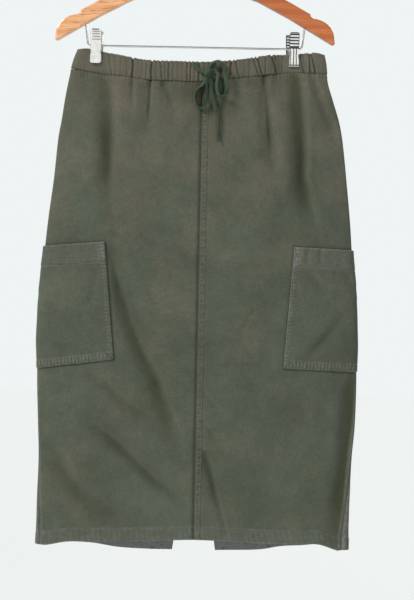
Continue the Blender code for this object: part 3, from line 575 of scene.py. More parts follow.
# ---------------------------------------------------------------- materials
class Nodes:
    """A short way to write a material's nodes."""

    def __init__(self, name):
        self.material = bpy.data.materials.new(name)
        self.material.use_nodes = True
        self.tree = self.material.node_tree
        self.shader = self.tree.nodes["Principled BSDF"]

    def add(self, kind, inputs=None, **settings):
        node = self.tree.nodes.new(kind)
        for key, value in settings.items():
            setattr(node, key, value)
        for key, value in (inputs or {}).items():
            self.feed(node.inputs[key], value)
        return node

    def feed(self, socket, value):
        if isinstance(value, bpy.types.NodeSocket):
            self.tree.links.new(value, socket)
        else:
            socket.default_value = value

    def maths(self, operation, a, b=0.0, clamp=False):
        node = self.add("ShaderNodeMath", {0: a, 1: b}, operation=operation, use_clamp=clamp)
        return node.outputs[0]

    def blend(self, share, a, b, mode="MIX"):
        node = self.add("ShaderNodeMix", data_type="RGBA", blend_type=mode)
        self.feed(node.inputs[0], share)
        self.feed(node.inputs[6], a)
        self.feed(node.inputs[7], b)
        return node.outputs[2]

    def noise(self, vector, scale, detail=3.0, roughness=0.55):
        return self.add(
            "ShaderNodeTexNoise",
            {"Vector": vector, "Scale": scale, "Detail": detail, "Roughness": roughness},
        ).outputs["Fac"]

    def spread(self, value, low, high, to_low=0.0, to_high=1.0):
        node = self.add(
            "ShaderNodeMapRange",
            {"Value": value, "From Min": low, "From Max": high, "To Min": to_low, "To Max": to_high},
        )
        return node.outputs[0]

    def value_of(self, name):
        return self.add("ShaderNodeAttribute", attribute_name=name).outputs["Fac"]

    def bump(self, height, distance, strength=1.0, under=None):
        inputs = {"Height": height, "Distance": distance, "Strength": strength}
        if under:
            inputs["Normal"] = under
        return self.add("ShaderNodeBump", inputs).outputs[0]


# Linear colours: the cloth is browner high up, greener low down, and greyer where it is worn; the same grey
# paints light onto the back hem's shaded inner face
BROWN_LIGHT = (0.124, 0.115, 0.083, 1)
BROWN_DARK = (0.094, 0.089, 0.062, 1)
OLIVE_LIGHT = (0.081, 0.097, 0.069, 1)
OLIVE_DARK = (0.060, 0.072, 0.048, 1)
SHADOW_GREEN = (0.038, 0.043, 0.021, 1)
WORN_AND_PAINTED_LIGHT_GREY = (0.178, 0.176, 0.176, 1)


def woven_normal(n, at, uv, thread, puckers):
    """The weave's relief, then small crumples, then the puckers beside its seams."""
    # a wave texture of scale 1 repeats every 2 pi / 20
    wave = 0.314 / thread
    warp = n.add(
        "ShaderNodeTexWave", {"Vector": uv, "Scale": wave, "Distortion": 0.4, "Detail": 1.0},
        wave_type="BANDS", bands_direction="X",
    ).outputs["Fac"]
    weft = n.add(
        "ShaderNodeTexWave", {"Vector": uv, "Scale": wave * 0.92, "Distortion": 0.4, "Detail": 1.0},
        wave_type="BANDS", bands_direction="Y",
    ).outputs["Fac"]
    weave = n.maths("MULTIPLY", warp, weft)
    slub = n.maths("ADD", weave, n.maths("MULTIPLY", n.noise(uv, 420.0, 3.0), 0.7))
    normal = n.bump(slub, 0.00016, 0.8)
    crumple = n.noise(at, 130.0, 4.0, 0.55)
    normal = n.bump(crumple, 0.0009, 0.55, normal)
    if puckers:
        along = n.value_of("along")
        bars = n.maths("SINE", n.maths("MULTIPLY", along, 2 * math.pi / PUCKER_PITCH))
        uneven = n.spread(n.noise(at, 90.0, 2.0), 0.3, 0.7, 0.35, 1.4)
        bars = n.maths("MULTIPLY", n.maths("MULTIPLY", bars, uneven), n.value_of("pucker"))
        normal = n.bump(bars, 0.00045, 1.0, normal)
    return normal


def cloth_material(name, light, dark, shadow, worn, thread=0.00075, puckers=True):
    """Plain-weave cotton: threads, slubs, uneven dye, paler worn edges and seam puckers, with painted shade
    in its folds and seams, and painted light on the back hem's shaded inner face.
    """
    n = Nodes(name)
    place = n.add("ShaderNodeTexCoord")
    at = place.outputs["Object"]
    uv = place.outputs["UV"]
    cloudy = n.noise(at, 9.0, 4.0, 0.6)
    patchy = n.noise(at, 48.0, 4.0, 0.6)
    fleck = n.noise(at, 1500.0, 2.0, 0.6)
    tone = n.maths("ADD", n.maths("MULTIPLY", cloudy, 0.6), n.maths("MULTIPLY", patchy, 0.4))
    tone = n.spread(tone, 0.36, 0.64)
    colour = n.blend(tone, dark, light)
    if puckers:
        height = n.add("ShaderNodeSeparateXYZ", {0: at}).outputs[2]
        sway = n.spread(n.noise(at, 14.0, 3.0), 0.3, 0.7, -0.50, 0.50)
        upper = n.maths("ADD", n.spread(height, -0.60, -0.26, 0.0, 0.80), sway, True)
        colour = n.blend(upper, colour, n.blend(tone, BROWN_DARK, BROWN_LIGHT))
        # painted shade: the fold value darkens the colour towards the shadow colour in folds, creases, seams
        # and round the pockets
        colour = n.blend(n.maths("MULTIPLY", n.value_of("fold"), 0.72, True), colour, shadow)
        # the wear value is real wear, and painted light where it lightens the back hem's shaded inner face
        wear_and_painted_light_share = n.spread(n.noise(at, 160.0, 3.0, 0.7), 0.30, 0.62)
        wear_and_painted_light_share = n.maths("MULTIPLY", n.value_of("wear"), wear_and_painted_light_share, True)
        colour = n.blend(wear_and_painted_light_share, colour, worn)
    flecked = n.spread(fleck, 0.25, 0.75, 0.80, 1.20)
    for stretch in ((130, 130, 720), (720, 720, 130)):
        streak = n.add("ShaderNodeMapping", {"Vector": at, "Scale": stretch}).outputs[0]
        streaked = n.spread(n.noise(streak, 1.0, 2.0), 0.3, 0.7, 0.90, 1.10)
        flecked = n.maths("MULTIPLY", flecked, streaked)
    shade = n.add("ShaderNodeCombineXYZ", {0: flecked, 1: flecked, 2: flecked}).outputs[0]
    colour = n.blend(1.0, colour, shade, "MULTIPLY")
    n.feed(n.shader.inputs["Base Color"], colour)
    n.shader.inputs["Roughness"].default_value = 0.92
    n.shader.inputs["Specular IOR Level"].default_value = 0.25
    n.shader.inputs["Sheen Weight"].default_value = 0.12
    n.shader.inputs["Sheen Roughness"].default_value = 0.55
    n.feed(n.shader.inputs["Normal"], woven_normal(n, at, uv, thread, puckers))
    return n.material


ARM_LEAN = math.radians(-27)


def wood_material():
    """Clear-lacquered hardwood: long grain along each arm and fine pores, with painted light and shade: the
    left arm paler, the right arm deeper.
    """
    n = Nodes("hanger_wood_lacquered")
    at = n.add("ShaderNodeTexCoord").outputs["Object"]
    parts = n.add("ShaderNodeSeparateXYZ", {0: at}).outputs
    mirrored = n.add(
        "ShaderNodeCombineXYZ", {0: n.maths("ABSOLUTE", parts[0]), 1: parts[1], 2: parts[2]}
    ).outputs[0]
    turned = n.add(
        "ShaderNodeMapping",
        {"Vector": mirrored, "Rotation": (0, ARM_LEAN, 0), "Scale": (2.2, 60, 60)},
    ).outputs[0]
    grain = n.noise(turned, 1.6, 5.0, 0.62)
    rings = n.add(
        "ShaderNodeTexWave",
        {"Vector": turned, "Scale": 0.32, "Distortion": 5.0, "Detail": 3.0, "Detail Scale": 1.2},
        wave_type="BANDS", bands_direction="Z",
    ).outputs["Fac"]
    pores = n.add(
        "ShaderNodeMapping",
        {"Vector": mirrored, "Rotation": (0, ARM_LEAN, 0), "Scale": (26, 700, 700)},
    ).outputs[0]
    pores = n.spread(n.noise(pores, 1.4, 2.0), 0.34, 0.46)
    share = n.spread(n.maths("ADD", grain, n.maths("MULTIPLY", rings, 0.45)), 0.45, 1.0)
    # painted light and shade: the left arm paler, the right arm deeper
    right = n.spread(parts[0], -0.004, 0.004)
    pale = n.blend(share, (0.88, 0.48, 0.25, 1), (0.73, 0.34, 0.14, 1))
    deep = n.blend(share, (0.56, 0.165, 0.042, 1), (0.40, 0.095, 0.022, 1))
    colour = n.blend(right, pale, deep)
    colour = n.blend(n.maths("SUBTRACT", 1.0, pores), colour, (0.34, 0.11, 0.03, 1))
    n.feed(n.shader.inputs["Base Color"], colour)
    n.shader.inputs["Roughness"].default_value = 0.34
    n.shader.inputs["Coat Weight"].default_value = 0.5
    n.shader.inputs["Coat Roughness"].default_value = 0.12
    n.feed(n.shader.inputs["Normal"], n.bump(n.noise(at, 90.0, 3.0), 0.0003, 0.4))
    return n.material


def metal_material(name, colour, roughness, scratch=0.06, painted_recess_shade=False, metallic=1.0):
    n = Nodes(name)
    at = n.add("ShaderNodeTexCoord").outputs["Object"]
    smear = n.noise(at, 140.0, 4.0, 0.6)
    tint = n.blend(n.spread(smear, 0.35, 0.7), (*colour, 1), (*(0.8 * c for c in colour), 1))
    if painted_recess_shade:
        # painted shade: the plates are darkened where their pressed relief sinks
        tint = n.blend(n.maths("MULTIPLY", n.value_of("painted_recess_shade"), 1.1, True), tint, (0.04, 0.05, 0.06, 1))
    n.feed(n.shader.inputs["Base Color"], tint)
    n.shader.inputs["Metallic"].default_value = metallic
    fine = n.noise(at, 900.0, 2.0)
    n.feed(
        n.shader.inputs["Roughness"],
        n.spread(fine, 0.2, 0.8, roughness - scratch / 2, roughness + scratch),
    )
    n.feed(n.shader.inputs["Normal"], n.bump(fine, 0.00004, 0.5))
    return n.material


COTTON = cloth_material("cotton_canvas", OLIVE_LIGHT, OLIVE_DARK, SHADOW_GREEN, WORN_AND_PAINTED_LIGHT_GREY)
BAND_COTTON = cloth_material(
    "cotton_waistband", (0.122, 0.112, 0.080, 1), (0.094, 0.090, 0.060, 1), SHADOW_GREEN, WORN_AND_PAINTED_LIGHT_GREY
)
TAPE = cloth_material(
    "cotton_tape", (0.050, 0.082, 0.048, 1), (0.031, 0.056, 0.031, 1), (0.02, 0.03, 0.02, 1),
    (0.11, 0.14, 0.11, 1), thread=0.0006, puckers=False,
)
THREAD = cloth_material(
    "sewing_thread", (0.135, 0.135, 0.100, 1), (0.105, 0.110, 0.078, 1), SHADOW_GREEN, WORN_AND_PAINTED_LIGHT_GREY,
    thread=0.0002, puckers=False,
)
WOOD = wood_material()
CHROME = metal_material("clip_chrome", (0.93, 0.93, 0.88), 0.30, painted_recess_shade=True, metallic=0.25)
WIRE = metal_material("hanger_wire", (0.70, 0.70, 0.70), 0.24)
SPRING = metal_material("spring_steel", (0.32, 0.33, 0.34), 0.35)


# ---------------------------------------------------------------- panels
FLAT_END = 60.0
FLAT_SHARE = float(share_across(FLAT_END))
SEAM_STEPS = (0, 0.0006, 0.0012, 0.0019, 0.0027, 0.0036, 0.0046, 0.0057, 0.0069, 0.0080,
              0.0088, 0.0095, 0.0102, 0.0111, 0.0124, 0.0142, 0.0165)
WIDE_COLUMNS = 74
FOLD_COLUMNS = 12


def slit_half(z):
    down = np.clip((SLIT_TOP - z) / SLIT_HEIGHT, 0, 1.05)
    return SEAM_GAP + SLIT_HALF * down


def rows_down():
    """Shares of a panel's height, closer together at both ends."""
    top = np.linspace(0, 0.045, 20, endpoint=False)
    body = np.linspace(0.045, 0.962, 262, endpoint=False)
    return np.concatenate((top, body, np.linspace(0.962, 1, 22)))


def panel_grid(side, facing):
    """Places round the section and heights of a panel's points."""
    steps = np.array(SEAM_STEPS)
    wide = np.linspace(0, 1, WIDE_COLUMNS + 1)[1:]
    shares = rows_down()[:, None]
    fold = np.linspace(0, 1, FOLD_COLUMNS + 1)[1:]
    guess = np.concatenate((steps / 0.25, mix(steps[-1] / 0.25, FLAT_SHARE, wide),
                            mix(FLAT_SHARE, 1.0, fold)))[None, :]
    place = side * np.clip(guess, 0, 1)
    top = curve(WAIST_SEAM, 1, place) - 0.0004
    z = mix(top, hem_of(facing, place), shares)
    width = reach(side, z)
    k, m = len(steps), len(steps) + WIDE_COLUMNS
    opening = SEAM_GAP if facing < 0 else slit_half(z[:, :k])
    near = (opening + steps) / width[:, :k]
    middle = mix(near[:, -1:], FLAT_SHARE, wide)
    angle = np.empty_like(z)
    angle[:, :m] = angle_at(np.concatenate((near, middle), axis=1), facing)
    seam = side_seam_angle(side, z[:, m:]) + facing * 0.05
    start = FLAT_END if facing < 0 else 180 - FLAT_END
    angle[:, m:] = mix(start, seam, fold)
    return angle, z, place


def panel_places(side, facing, ridge):
    """Each point of a panel, and how far it lies from the panel's seams, hem and edges."""
    angle, z, place = panel_grid(side, facing)
    points, pushed = skin(side, angle, z)
    x = points[..., 0]
    from_hem = z - hem_of(facing, place)
    widths = np.linalg.norm(np.diff(points[:, ::-1], axis=1, prepend=points[:, -1:]), axis=-1)
    return SimpleNamespace(
        side=side, facing=facing, ridge=ridge, tucked=facing < 0 and not ridge,
        points=points, pushed=pushed, angle=angle, x=x, z=z,
        from_seam=np.abs(x - SKIRT_X) - (0 if facing < 0 else slit_half(z) - SEAM_GAP),
        from_hem=from_hem,
        from_side=np.cumsum(widths, axis=1)[:, ::-1],
        under_seam=curve(WAIST_SEAM, 1, place) - z,
        slit=(facing > 0) * smooth(SLIT_TOP + 0.004, SLIT_TOP - 0.006, z),
        hemmed=1 - smooth(HEM_DEPTH - 0.0012, HEM_DEPTH + 0.0004, from_hem),
        ropes=np.sin(2 * math.pi * (x + 0.15 * z) / 0.0087 + 1.6 * rough(x, 0, z, 0.05, 3)),
        uneven=0.5 + 0.5 * rough(x, 0, z, 0.03, 9),
        ladder=smooth(0.0, 0.8, np.sin(2 * math.pi * z / LADDER_PITCH)),
    )


def panel_relief(at):
    """How far the cloth stands out at its seams, hem and stitching, and in its small rumples."""
    sewn = 1 - at.slit
    out = -0.0015 * bell(at.from_seam, 0.0030) if at.tucked else -0.0010 * bell(at.from_seam, 0.0014)
    if at.ridge:
        felled = smooth(0.0006, 0.0022, at.from_seam) * (1 - smooth(0.0092, 0.0104, at.from_seam))
        out += sewn * (0.0009 * felled - 0.0005 * bell(at.from_seam - 0.0108, 0.0011))
        for row in SEAM_ROWS:
            out -= sewn * 0.00035 * bell(at.from_seam - row, 0.0007)
    faced = 1 - smooth(0.0180, 0.0200, at.from_seam)
    out += at.slit * (0.0004 * faced - 0.0003 * bell(at.from_seam - SLIT_ROW, 0.0010))
    out += 0.00045 * at.hemmed + 0.00028 * at.ropes * at.hemmed * at.uneven
    out -= 0.00045 * bell(at.from_hem - HEM_DEPTH + 0.001, 0.0010)
    out -= 0.00055 * bell(at.from_side, 0.0016)
    out += 0.00035 * bell(at.from_side - 0.0045, 0.0022)
    out -= 0.0009 * bell(at.under_seam, 0.0016)
    out += 0.00040 * bell(at.under_seam - 0.0040, 0.0026)
    rumple = rough(at.x, at.facing, at.z * 0.55, 0.034, 1) * 0.0006
    rumple += rough(at.x, at.facing, at.z, 0.012, 5) * 0.0002
    out += rumple * smooth(0.0, 0.02, at.from_side)
    seam_rumple = np.sin(2 * math.pi * at.z / 0.013 + 3 * rough(0, 0, at.z, 0.03, 2 + at.side))
    return out + 0.00022 * seam_rumple * bell(at.from_seam - 0.007, 0.008) * sewn


def panel_faces(at):
    """A panel's outer and inner points: thicker at the hem and seam, and tucked under on one half."""
    away = directions_out(at.side, at.angle, at.z)
    outer = at.points + away * panel_relief(at)[..., None]
    thickness = CLOTH + 0.0011 * at.hemmed + 0.0009 * bell(at.from_seam - 0.005, 0.006)
    inner = outer - away * thickness[..., None]
    outer -= away * (smooth(0.0011, 0.0, at.from_hem) * 0.0005)[..., None]
    if at.tucked:
        under = np.clip(1 - at.from_seam / 0.0030, 0, 1)
        inner += np.stack((0.0075 * under, 0.0014 * under, 0 * under), axis=-1)
    return outer, inner


def panel_wear_and_painted_light(at):
    """How worn the outer and inner faces are. The back hem's inner face shows under the front, in shade, and
    is painted lighter there: painted light.
    """
    sewn = 1 - at.slit
    wear = (0.60 if at.ridge else 0.0) * sewn * bell(at.from_seam - 0.0094, 0.0012)
    wear += at.slit * (0.9 * bell(at.from_seam, 0.0016) + 0.35 * bell(at.from_seam - 0.0190, 0.0012))
    wear += 0.85 * smooth(0.0028, 0.0, at.from_hem)
    wear += at.hemmed * (0.06 + 0.42 * smooth(-0.3, 0.6, at.ropes) * at.uneven)
    wear += 0.40 * bell(at.from_hem - HEM_DEPTH, 0.0012)
    wear += 0.35 * bell(at.from_side - 0.0040, 0.0014) * smooth(-0.50, -0.72, at.z)
    wear += 0.30 * (at.facing > 0) * (at.angle < 90)
    wear += 0.45 * at.ladder * bell(at.from_seam - 0.0056, 0.0026) * sewn * at.ridge
    # painted light: the inner face of the back hem is lightened against the shade it lies in under the front
    return np.clip(np.stack((wear, wear + 1.9 * at.hemmed * (at.facing > 0))), 0, 2)


def waist_shade(facing, x):
    """How strong the painted shade along the waist seam is: as listed on the front, and even on the back."""
    return np.interp(x, *np.transpose(WAIST_SHADE)) if facing < 0 else 0.6


def panel_painted_shade(at):
    """Painted shade: how dark the cloth is painted in its folds, along its seams and round the pockets."""
    facing_out = smooth(0.10, 0.25, np.abs(np.cos(np.radians(at.angle))))
    fold = 0.75 * np.clip(at.pushed / 0.0090, 0, 1) ** 1.3 * facing_out
    if at.facing < 0:
        fold += 0.9 * np.clip(crease_relief(at.x, at.z, FRONT_SHADES) / CREASE_DEPTH, 0, 1)
    fold += 0.95 * bell(at.from_seam, 0.0036) if at.tucked else 0.9 * bell(at.from_seam, 0.0019)
    fold += waist_shade(at.facing, at.x) * bell(at.under_seam, 0.0018)
    fold += 0.5 * bell(at.from_hem - HEM_DEPTH + 0.001, 0.0008)
    fold += 0.40 * (1 - at.ladder) * bell(at.from_seam - 0.0056, 0.0030) * (1 - at.slit) * at.ridge
    # painted shadow on the panel just outside the pockets' edges
    by_pocket = -np.minimum.reduce(pocket_edges(at.side, at.x, at.z))
    return fold + 0.65 * smooth(0.0055, 0.0008, by_pocket) * smooth(-0.004, 0.0, by_pocket)


def panel(name, side, facing, ridge):
    """One quarter of the skirt. ridge: this side of the centre seam is the felled one."""
    at = panel_places(side, facing, ridge)
    pucker = (0.6 if ridge else 0.12) * bell(at.from_seam - 0.006, 0.004) * (1 - at.slit)
    fields = {
        "fold": panel_painted_shade(at),
        "wear": panel_wear_and_painted_light(at),
        "pucker": np.clip(pucker + 0.6 * bell(at.under_seam - 0.004, 0.007), 0, 1),
        "along": mix(at.x, 1.5 * at.z, smooth(0.012, 0.015, at.under_seam)),
    }
    uv = np.stack((at.x, at.z), axis=-1)
    return settle(grid_piece(name, *panel_faces(at), COTTON, fields, uv), "olive_cotton")


PANELS = {}
for name, side, facing, ridge in (
    ("front_left", -1, -1, False), ("front_right", 1, -1, True),
    ("back_left", -1, 1, True), ("back_right", 1, 1, False),
):
    PANELS[name] = panel(name + "_cloth", side, facing, ridge)
    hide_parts(name)


# ---------------------------------------------------------------- waistband
def band_point(facing, place, down, out):
    """Points of the casing's middle line, moved out: places across, shares down from its top."""
    gathers = FRONT_GATHERS if facing < 0 else BACK_GATHERS
    top, foot = curve(WAIST_TOP, 1, place), curve(WAIST_SEAM, 1, place)
    z = mix(top, foot, down)
    half = np.where(place < 0, reach(-1, z), reach(1, z))
    x = SKIRT_X + place * half
    grooves = gathers_at(gathers, x, np.clip(down, 0, 1))
    depth = curve(OUTLINE, 3, z) * np.sqrt(1 - np.abs(place) ** 3)
    clamped = clamp_share(x, z, place)
    depth = np.maximum(mix(depth, CLAMPED, clamped), CLAMPED)
    to_end = half * (1 - np.abs(place))
    edge = 1 - smooth(0, 0.0035, to_end)
    middle = depth - BAND_WALL / 2
    calm = 1 - 0.92 * bell(np.abs(x) - CLIP_X, 0.0125)
    push = grooves * calm * (1 - 0.85 * edge)
    y = middle - push * 0.75 + out * (1 - 0.86 * edge)
    return x, facing * np.maximum(y, 0.00012), z, push, edge


def waistband(name, facing):
    columns = 430
    spread = np.linspace(-1, 1, columns)
    place = mix(spread, np.sin(spread * math.pi / 2), 0.25)[:, None]
    profile = []
    half = BAND_WALL / 2
    for down in np.linspace(1.0, 0.045, 19):
        profile.append((down, half * (0.80 + 0.34 * math.sin(math.pi * min(1, down)) ** 0.7)))
    for turn in np.linspace(60, -60, 5):
        profile.append((0.045 - 0.045 * math.cos(math.radians(turn)), half * math.sin(math.radians(turn))))
    for down in np.linspace(0.045, 1.0, 12):
        profile.append((down, -half * 0.9))
    profile.append((1.012, 0.0))
    downs = np.array([p[0] for p in profile])[None, :]
    outs = np.array([p[1] for p in profile])[None, :]
    x, y, z, push, edge = band_point(facing, place, downs, outs)
    lip = 1 - smooth(0, 0.25, downs)
    z = z - 0.55 * push * lip
    stitched = 0.00035 * bell(downs - 0.95, 0.03) + 0.0003 * bell(downs - 0.09, 0.03)
    rumple = 0.00018 * rough(x, facing, z, 0.006, 4)
    y = y + facing * np.where(outs > 0, rumple - stitched, 0) * (1 - edge)
    points = np.stack((x, y, z), axis=-1)
    faces = tube_faces(columns, points.shape[1])
    # painted shade in the gathers' grooves and along the waist seam
    fold = np.clip(push / 0.0014, 0, 1) + 0.9 * waist_shade(facing, x) * smooth(0.955, 1.0, downs)
    wear = 0.5 * bell(downs - 0.01, 0.03) + 0 * x
    fields = {
        "fold": np.clip(fold, 0, 1).ravel(),
        "wear": np.clip(wear, 0, 1).ravel(),
        "pucker": (0.35 * bell(downs - 0.93, 0.07) + 0 * x).ravel(),
        "along": x.ravel(),
    }
    uv = np.stack((x, z), axis=-1).reshape(-1, 2)
    piece = mesh_piece(name, points.reshape(-1, 3), faces, BAND_COTTON, fields, uv)
    return settle(piece, "olive_cotton")


BANDS = {}
for word, facing in (("front", -1), ("back", 1)):
    BANDS[word] = waistband(f"waistband_{word}_cloth", facing)
    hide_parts(f"waistband_{word}")


# ---------------------------------------------------------------- pockets
def pocket_grid(side, across, down):
    """Angles and heights inside a pocket: across 0 and 1 are its front and back edges."""
    inner_x, inner_z, outer_top, foot_x, foot_z, outer_foot = POCKETS[side]
    edge_x = mix(inner_x, foot_x, down)
    edge_z = mix(inner_z, foot_z, down)
    side_z = mix(outer_top, outer_foot, down)
    edge_share = np.abs(edge_x - SKIRT_X) / reach(side, edge_z)
    out = 1 - np.abs(2 * across - 1)
    flat = 0.80
    share = np.where(out < flat, mix(edge_share, FLAT_SHARE, np.clip(out / flat, 0, 1)), FLAT_SHARE)
    angle = angle_at(share, -1)
    angle = np.where(out < flat, angle, mix(FLAT_END, 90.0, np.clip((out - flat) / (1 - flat), 0, 1)))
    angle = np.where(across <= 0.5, angle, 180 - angle)
    toward = (share_across(angle) - edge_share) / (1 - edge_share)
    return angle, mix(edge_z, side_z, toward)


def pocket_places(side):
    """Each point of a pocket, and how far it lies from the pocket's edges."""
    columns, mouth_rows, body_rows, mouth_share = 150, 26, 84, 0.19
    across = np.linspace(0, 1, columns)[None, :]
    mouth = np.linspace(0, mouth_share, mouth_rows, endpoint=False)
    down = np.concatenate((mouth, np.linspace(mouth_share, 1, body_rows)))[:, None]
    angle, z = pocket_grid(side, across, down)
    points, _ = skin(side, angle, z, False)
    x = points[..., 0]
    front = angle <= 90
    _, inner_z, _, _, foot_z, _ = POCKETS[side]
    height = abs(foot_z - inner_z)
    from_top, from_foot = down * height + 0 * x, (1 - down) * height + 0 * x
    widths = np.linalg.norm(np.diff(points, axis=1), axis=-1)
    along_row = np.concatenate((np.zeros((len(z), 1)), np.cumsum(widths, axis=1)), axis=1)
    from_edge = np.minimum(along_row, along_row[:, -1:] - along_row)
    return SimpleNamespace(
        points=points, angle=angle, front=front, x=x, z=z, along_row=along_row,
        from_top=from_top, from_foot=from_foot, from_edge=from_edge,
        border=np.minimum(from_edge, from_foot),
        banded=1 - smooth(POCKET_HEM - 0.0008, POCKET_HEM + 0.0006, from_top),
        creased=crease_relief(x, z, POCKET_CREASES[side]) * np.where(front, 1.0, 0.75),
        bars_down=np.sin(2 * math.pi * along_row / PUCKER_PITCH + 1.5 * rough(x, 0, z, 0.03, 11)),
        bars_across=np.sin(2 * math.pi * z / PUCKER_PITCH + 1.5 * rough(x, 0, z, 0.03, 12)),
    )


def pocket_relief(at):
    """How far a pocket's inner face stands off the panel, with its seams, mouth and creases."""
    full = smooth(0.004, 0.045, at.border) * smooth(0.0, 0.05, at.from_top + 0.02)
    out = POCKET_OUT + 0.0016 * full - at.creased * smooth(0.0, 0.012, at.border)
    out -= 0.0011 * bell(at.angle - 90, 12.0)
    out += 0.0004 * at.banded - 0.00045 * bell(at.from_top - POCKET_HEM, 0.0010)
    for measure, rows in ((at.from_edge, POCKET_EDGE_ROWS), (at.from_foot, POCKET_FOOT_ROWS)):
        for row in rows:
            out -= 0.00032 * bell(measure - row, 0.0008) * (1 - at.banded)
    out += 0.00030 * bell(at.from_edge - 0.0048, 0.0022) + 0.00030 * bell(at.from_foot - 0.0068, 0.0035)
    out += 0.0008 * bell(at.from_top, 0.010) * smooth(0.010, 0.05, at.from_edge)
    rumple = rough(at.x, np.where(at.front, -1.0, 1.0), at.z, 0.028, 6)
    out += 0.00035 * rumple * smooth(0.0, 0.02, at.border)
    out += 0.00018 * at.bars_down * bell(at.from_foot - 0.0065, 0.005)
    return out + 0.00018 * at.bars_across * bell(at.from_edge - 0.0048, 0.0036)


def pocket_wear(at):
    """How worn a pocket is: its edges, its seams and the corners of its mouth."""
    block = smooth(0.013, 0.010, at.from_edge) * smooth(0.034, 0.031, at.from_top) * at.front
    wear = 0.85 * smooth(0.0022, 0.0, at.border) + 0.55 * bell(at.from_top, 0.0014)
    wear += 0.45 * bell(at.from_top - POCKET_HEM - 0.0004, 0.0013) + 0.45 * block
    wear += bell(at.from_edge - 0.0048, 0.0022) * (0.15 + 0.35 * smooth(-0.3, 0.6, at.bars_across))
    wear += 0.42 * bell(at.from_foot - POCKET_FOOT_ROWS[1], 0.0014) + 0.16 * at.banded
    wear += bell(at.from_foot - 0.0066, 0.0034) * (0.12 + 0.35 * smooth(-0.3, 0.6, at.bars_down))
    return np.clip(wear, 0, 1)


def pocket(name, side):
    """A side patch pocket, wrapped round the side seam from the front to the back."""
    at = pocket_places(side)
    away = directions_out(side, at.angle, at.z)
    out = pocket_relief(at)
    outer = at.points + away * (out + POCKET_WALL)[..., None]
    inner = at.points + away * np.maximum(0.0006, out)[..., None]
    lower = smooth(0.0012, 0.0, np.minimum(at.border, at.from_top))
    outer -= away * (0.0005 * lower)[..., None]
    # painted shade in the fold under the pocket's hem and in its creases
    fold = 0.55 * bell(at.from_top - POCKET_HEM + 0.0004, 0.0009)
    fold += 0.55 * np.clip(at.creased / 0.0036, 0, 1)
    pucker = bell(at.from_edge - 0.005, 0.005) + bell(at.from_foot - 0.006, 0.006)
    fields = {
        "fold": np.clip(fold, 0, 1),
        "wear": pocket_wear(at),
        "pucker": np.clip(pucker + 0.5 * bell(at.from_top - POCKET_HEM, 0.006), 0, 1),
        "along": np.where(at.from_foot < at.from_edge, at.along_row, at.z),
    }
    uv = np.stack((at.along_row, at.z), axis=-1)
    return settle(grid_piece(name, outer, inner, COTTON, fields, uv), "olive_cotton")


POCKET_PIECES = {}
for word, side in (("left", -1), ("right", 1)):
    POCKET_PIECES[word] = pocket(f"pocket_{word}_cloth", side)
    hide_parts(f"pocket_{word}")


# ---------------------------------------------------------------- stitches
STITCH = 0.0031
STITCH_GAP = 0.0007
THREAD_RADIUS = 0.00026


def stitch_rows(name, rows, dip=0.00005):
    """Rows of topstitching. Each row: points on the cloth and the directions out of it."""
    points, faces = [], []
    ring = 6
    for path, away in rows:
        steps = np.linalg.norm(np.diff(path, axis=0), axis=1)
        lengths = np.concatenate(([0.0], np.cumsum(steps)))
        count = max(1, int(lengths[-1] / (STITCH + STITCH_GAP)))
        for k in range(count):
            start = k * (STITCH + STITCH_GAP)
            at = start + STITCH * np.array((0.0, 0.14, 0.5, 0.86, 1.0))
            lift = np.array((-0.00022, 0.00010, 0.00020, 0.00010, -0.00022)) + dip
            size = np.array((0.25, 0.9, 1.0, 0.9, 0.25)) * THREAD_RADIUS
            middle = np.stack([np.interp(at, lengths, path[:, i]) for i in range(3)], axis=1)
            out = np.stack([np.interp(at, lengths, away[:, i]) for i in range(3)], axis=1)
            ahead = middle[-1] - middle[0]
            ahead /= np.linalg.norm(ahead) + 1e-12
            beside = np.cross(out, ahead)
            beside /= np.linalg.norm(beside, axis=1, keepdims=True) + 1e-12
            base = len(points)
            for i in range(5):
                for j in range(ring):
                    turn = 2 * math.pi * j / ring
                    points.append(
                        middle[i] + out[i] * (lift[i] + size[i] * math.sin(turn))
                        + beside[i] * size[i] * 1.25 * math.cos(turn)
                    )
            faces += tube_faces(5, ring, base)
    piece = mesh_piece(name, points, faces, THREAD)
    return settle(piece, "olive_cotton")


def surface_of(piece):
    """The piece's own mesh, to lay stitches on."""
    mesh = piece.data
    return BVHTree.FromPolygons([v.co[:] for v in mesh.vertices], [p.vertices[:] for p in mesh.polygons])


def laid_on(trees, side, facing, x, z):
    """A row's points dropped straight onto the outermost of the cloths under it."""
    guess, away = on_cloth(side, facing, x, z, 0.012)
    points, outs = [], []
    for start, out in zip(guess, away):
        best = None
        for tree in trees:
            hit = tree.ray_cast(Vector(start), -Vector(out), 0.03)
            if hit[0] is not None and (best is None or hit[3] < best[3]):
                best = hit
        if best is not None:
            points.append(np.array(best[0]))
            outs.append(np.array(out))
    return np.array(points), np.array(outs)


TREES = {key: surface_of(piece) for key, piece in PANELS.items()}
BAND_TREES = {word: surface_of(piece) for word, piece in BANDS.items()}
POCKET_TREES = {word: surface_of(piece) for word, piece in POCKET_PIECES.items()}


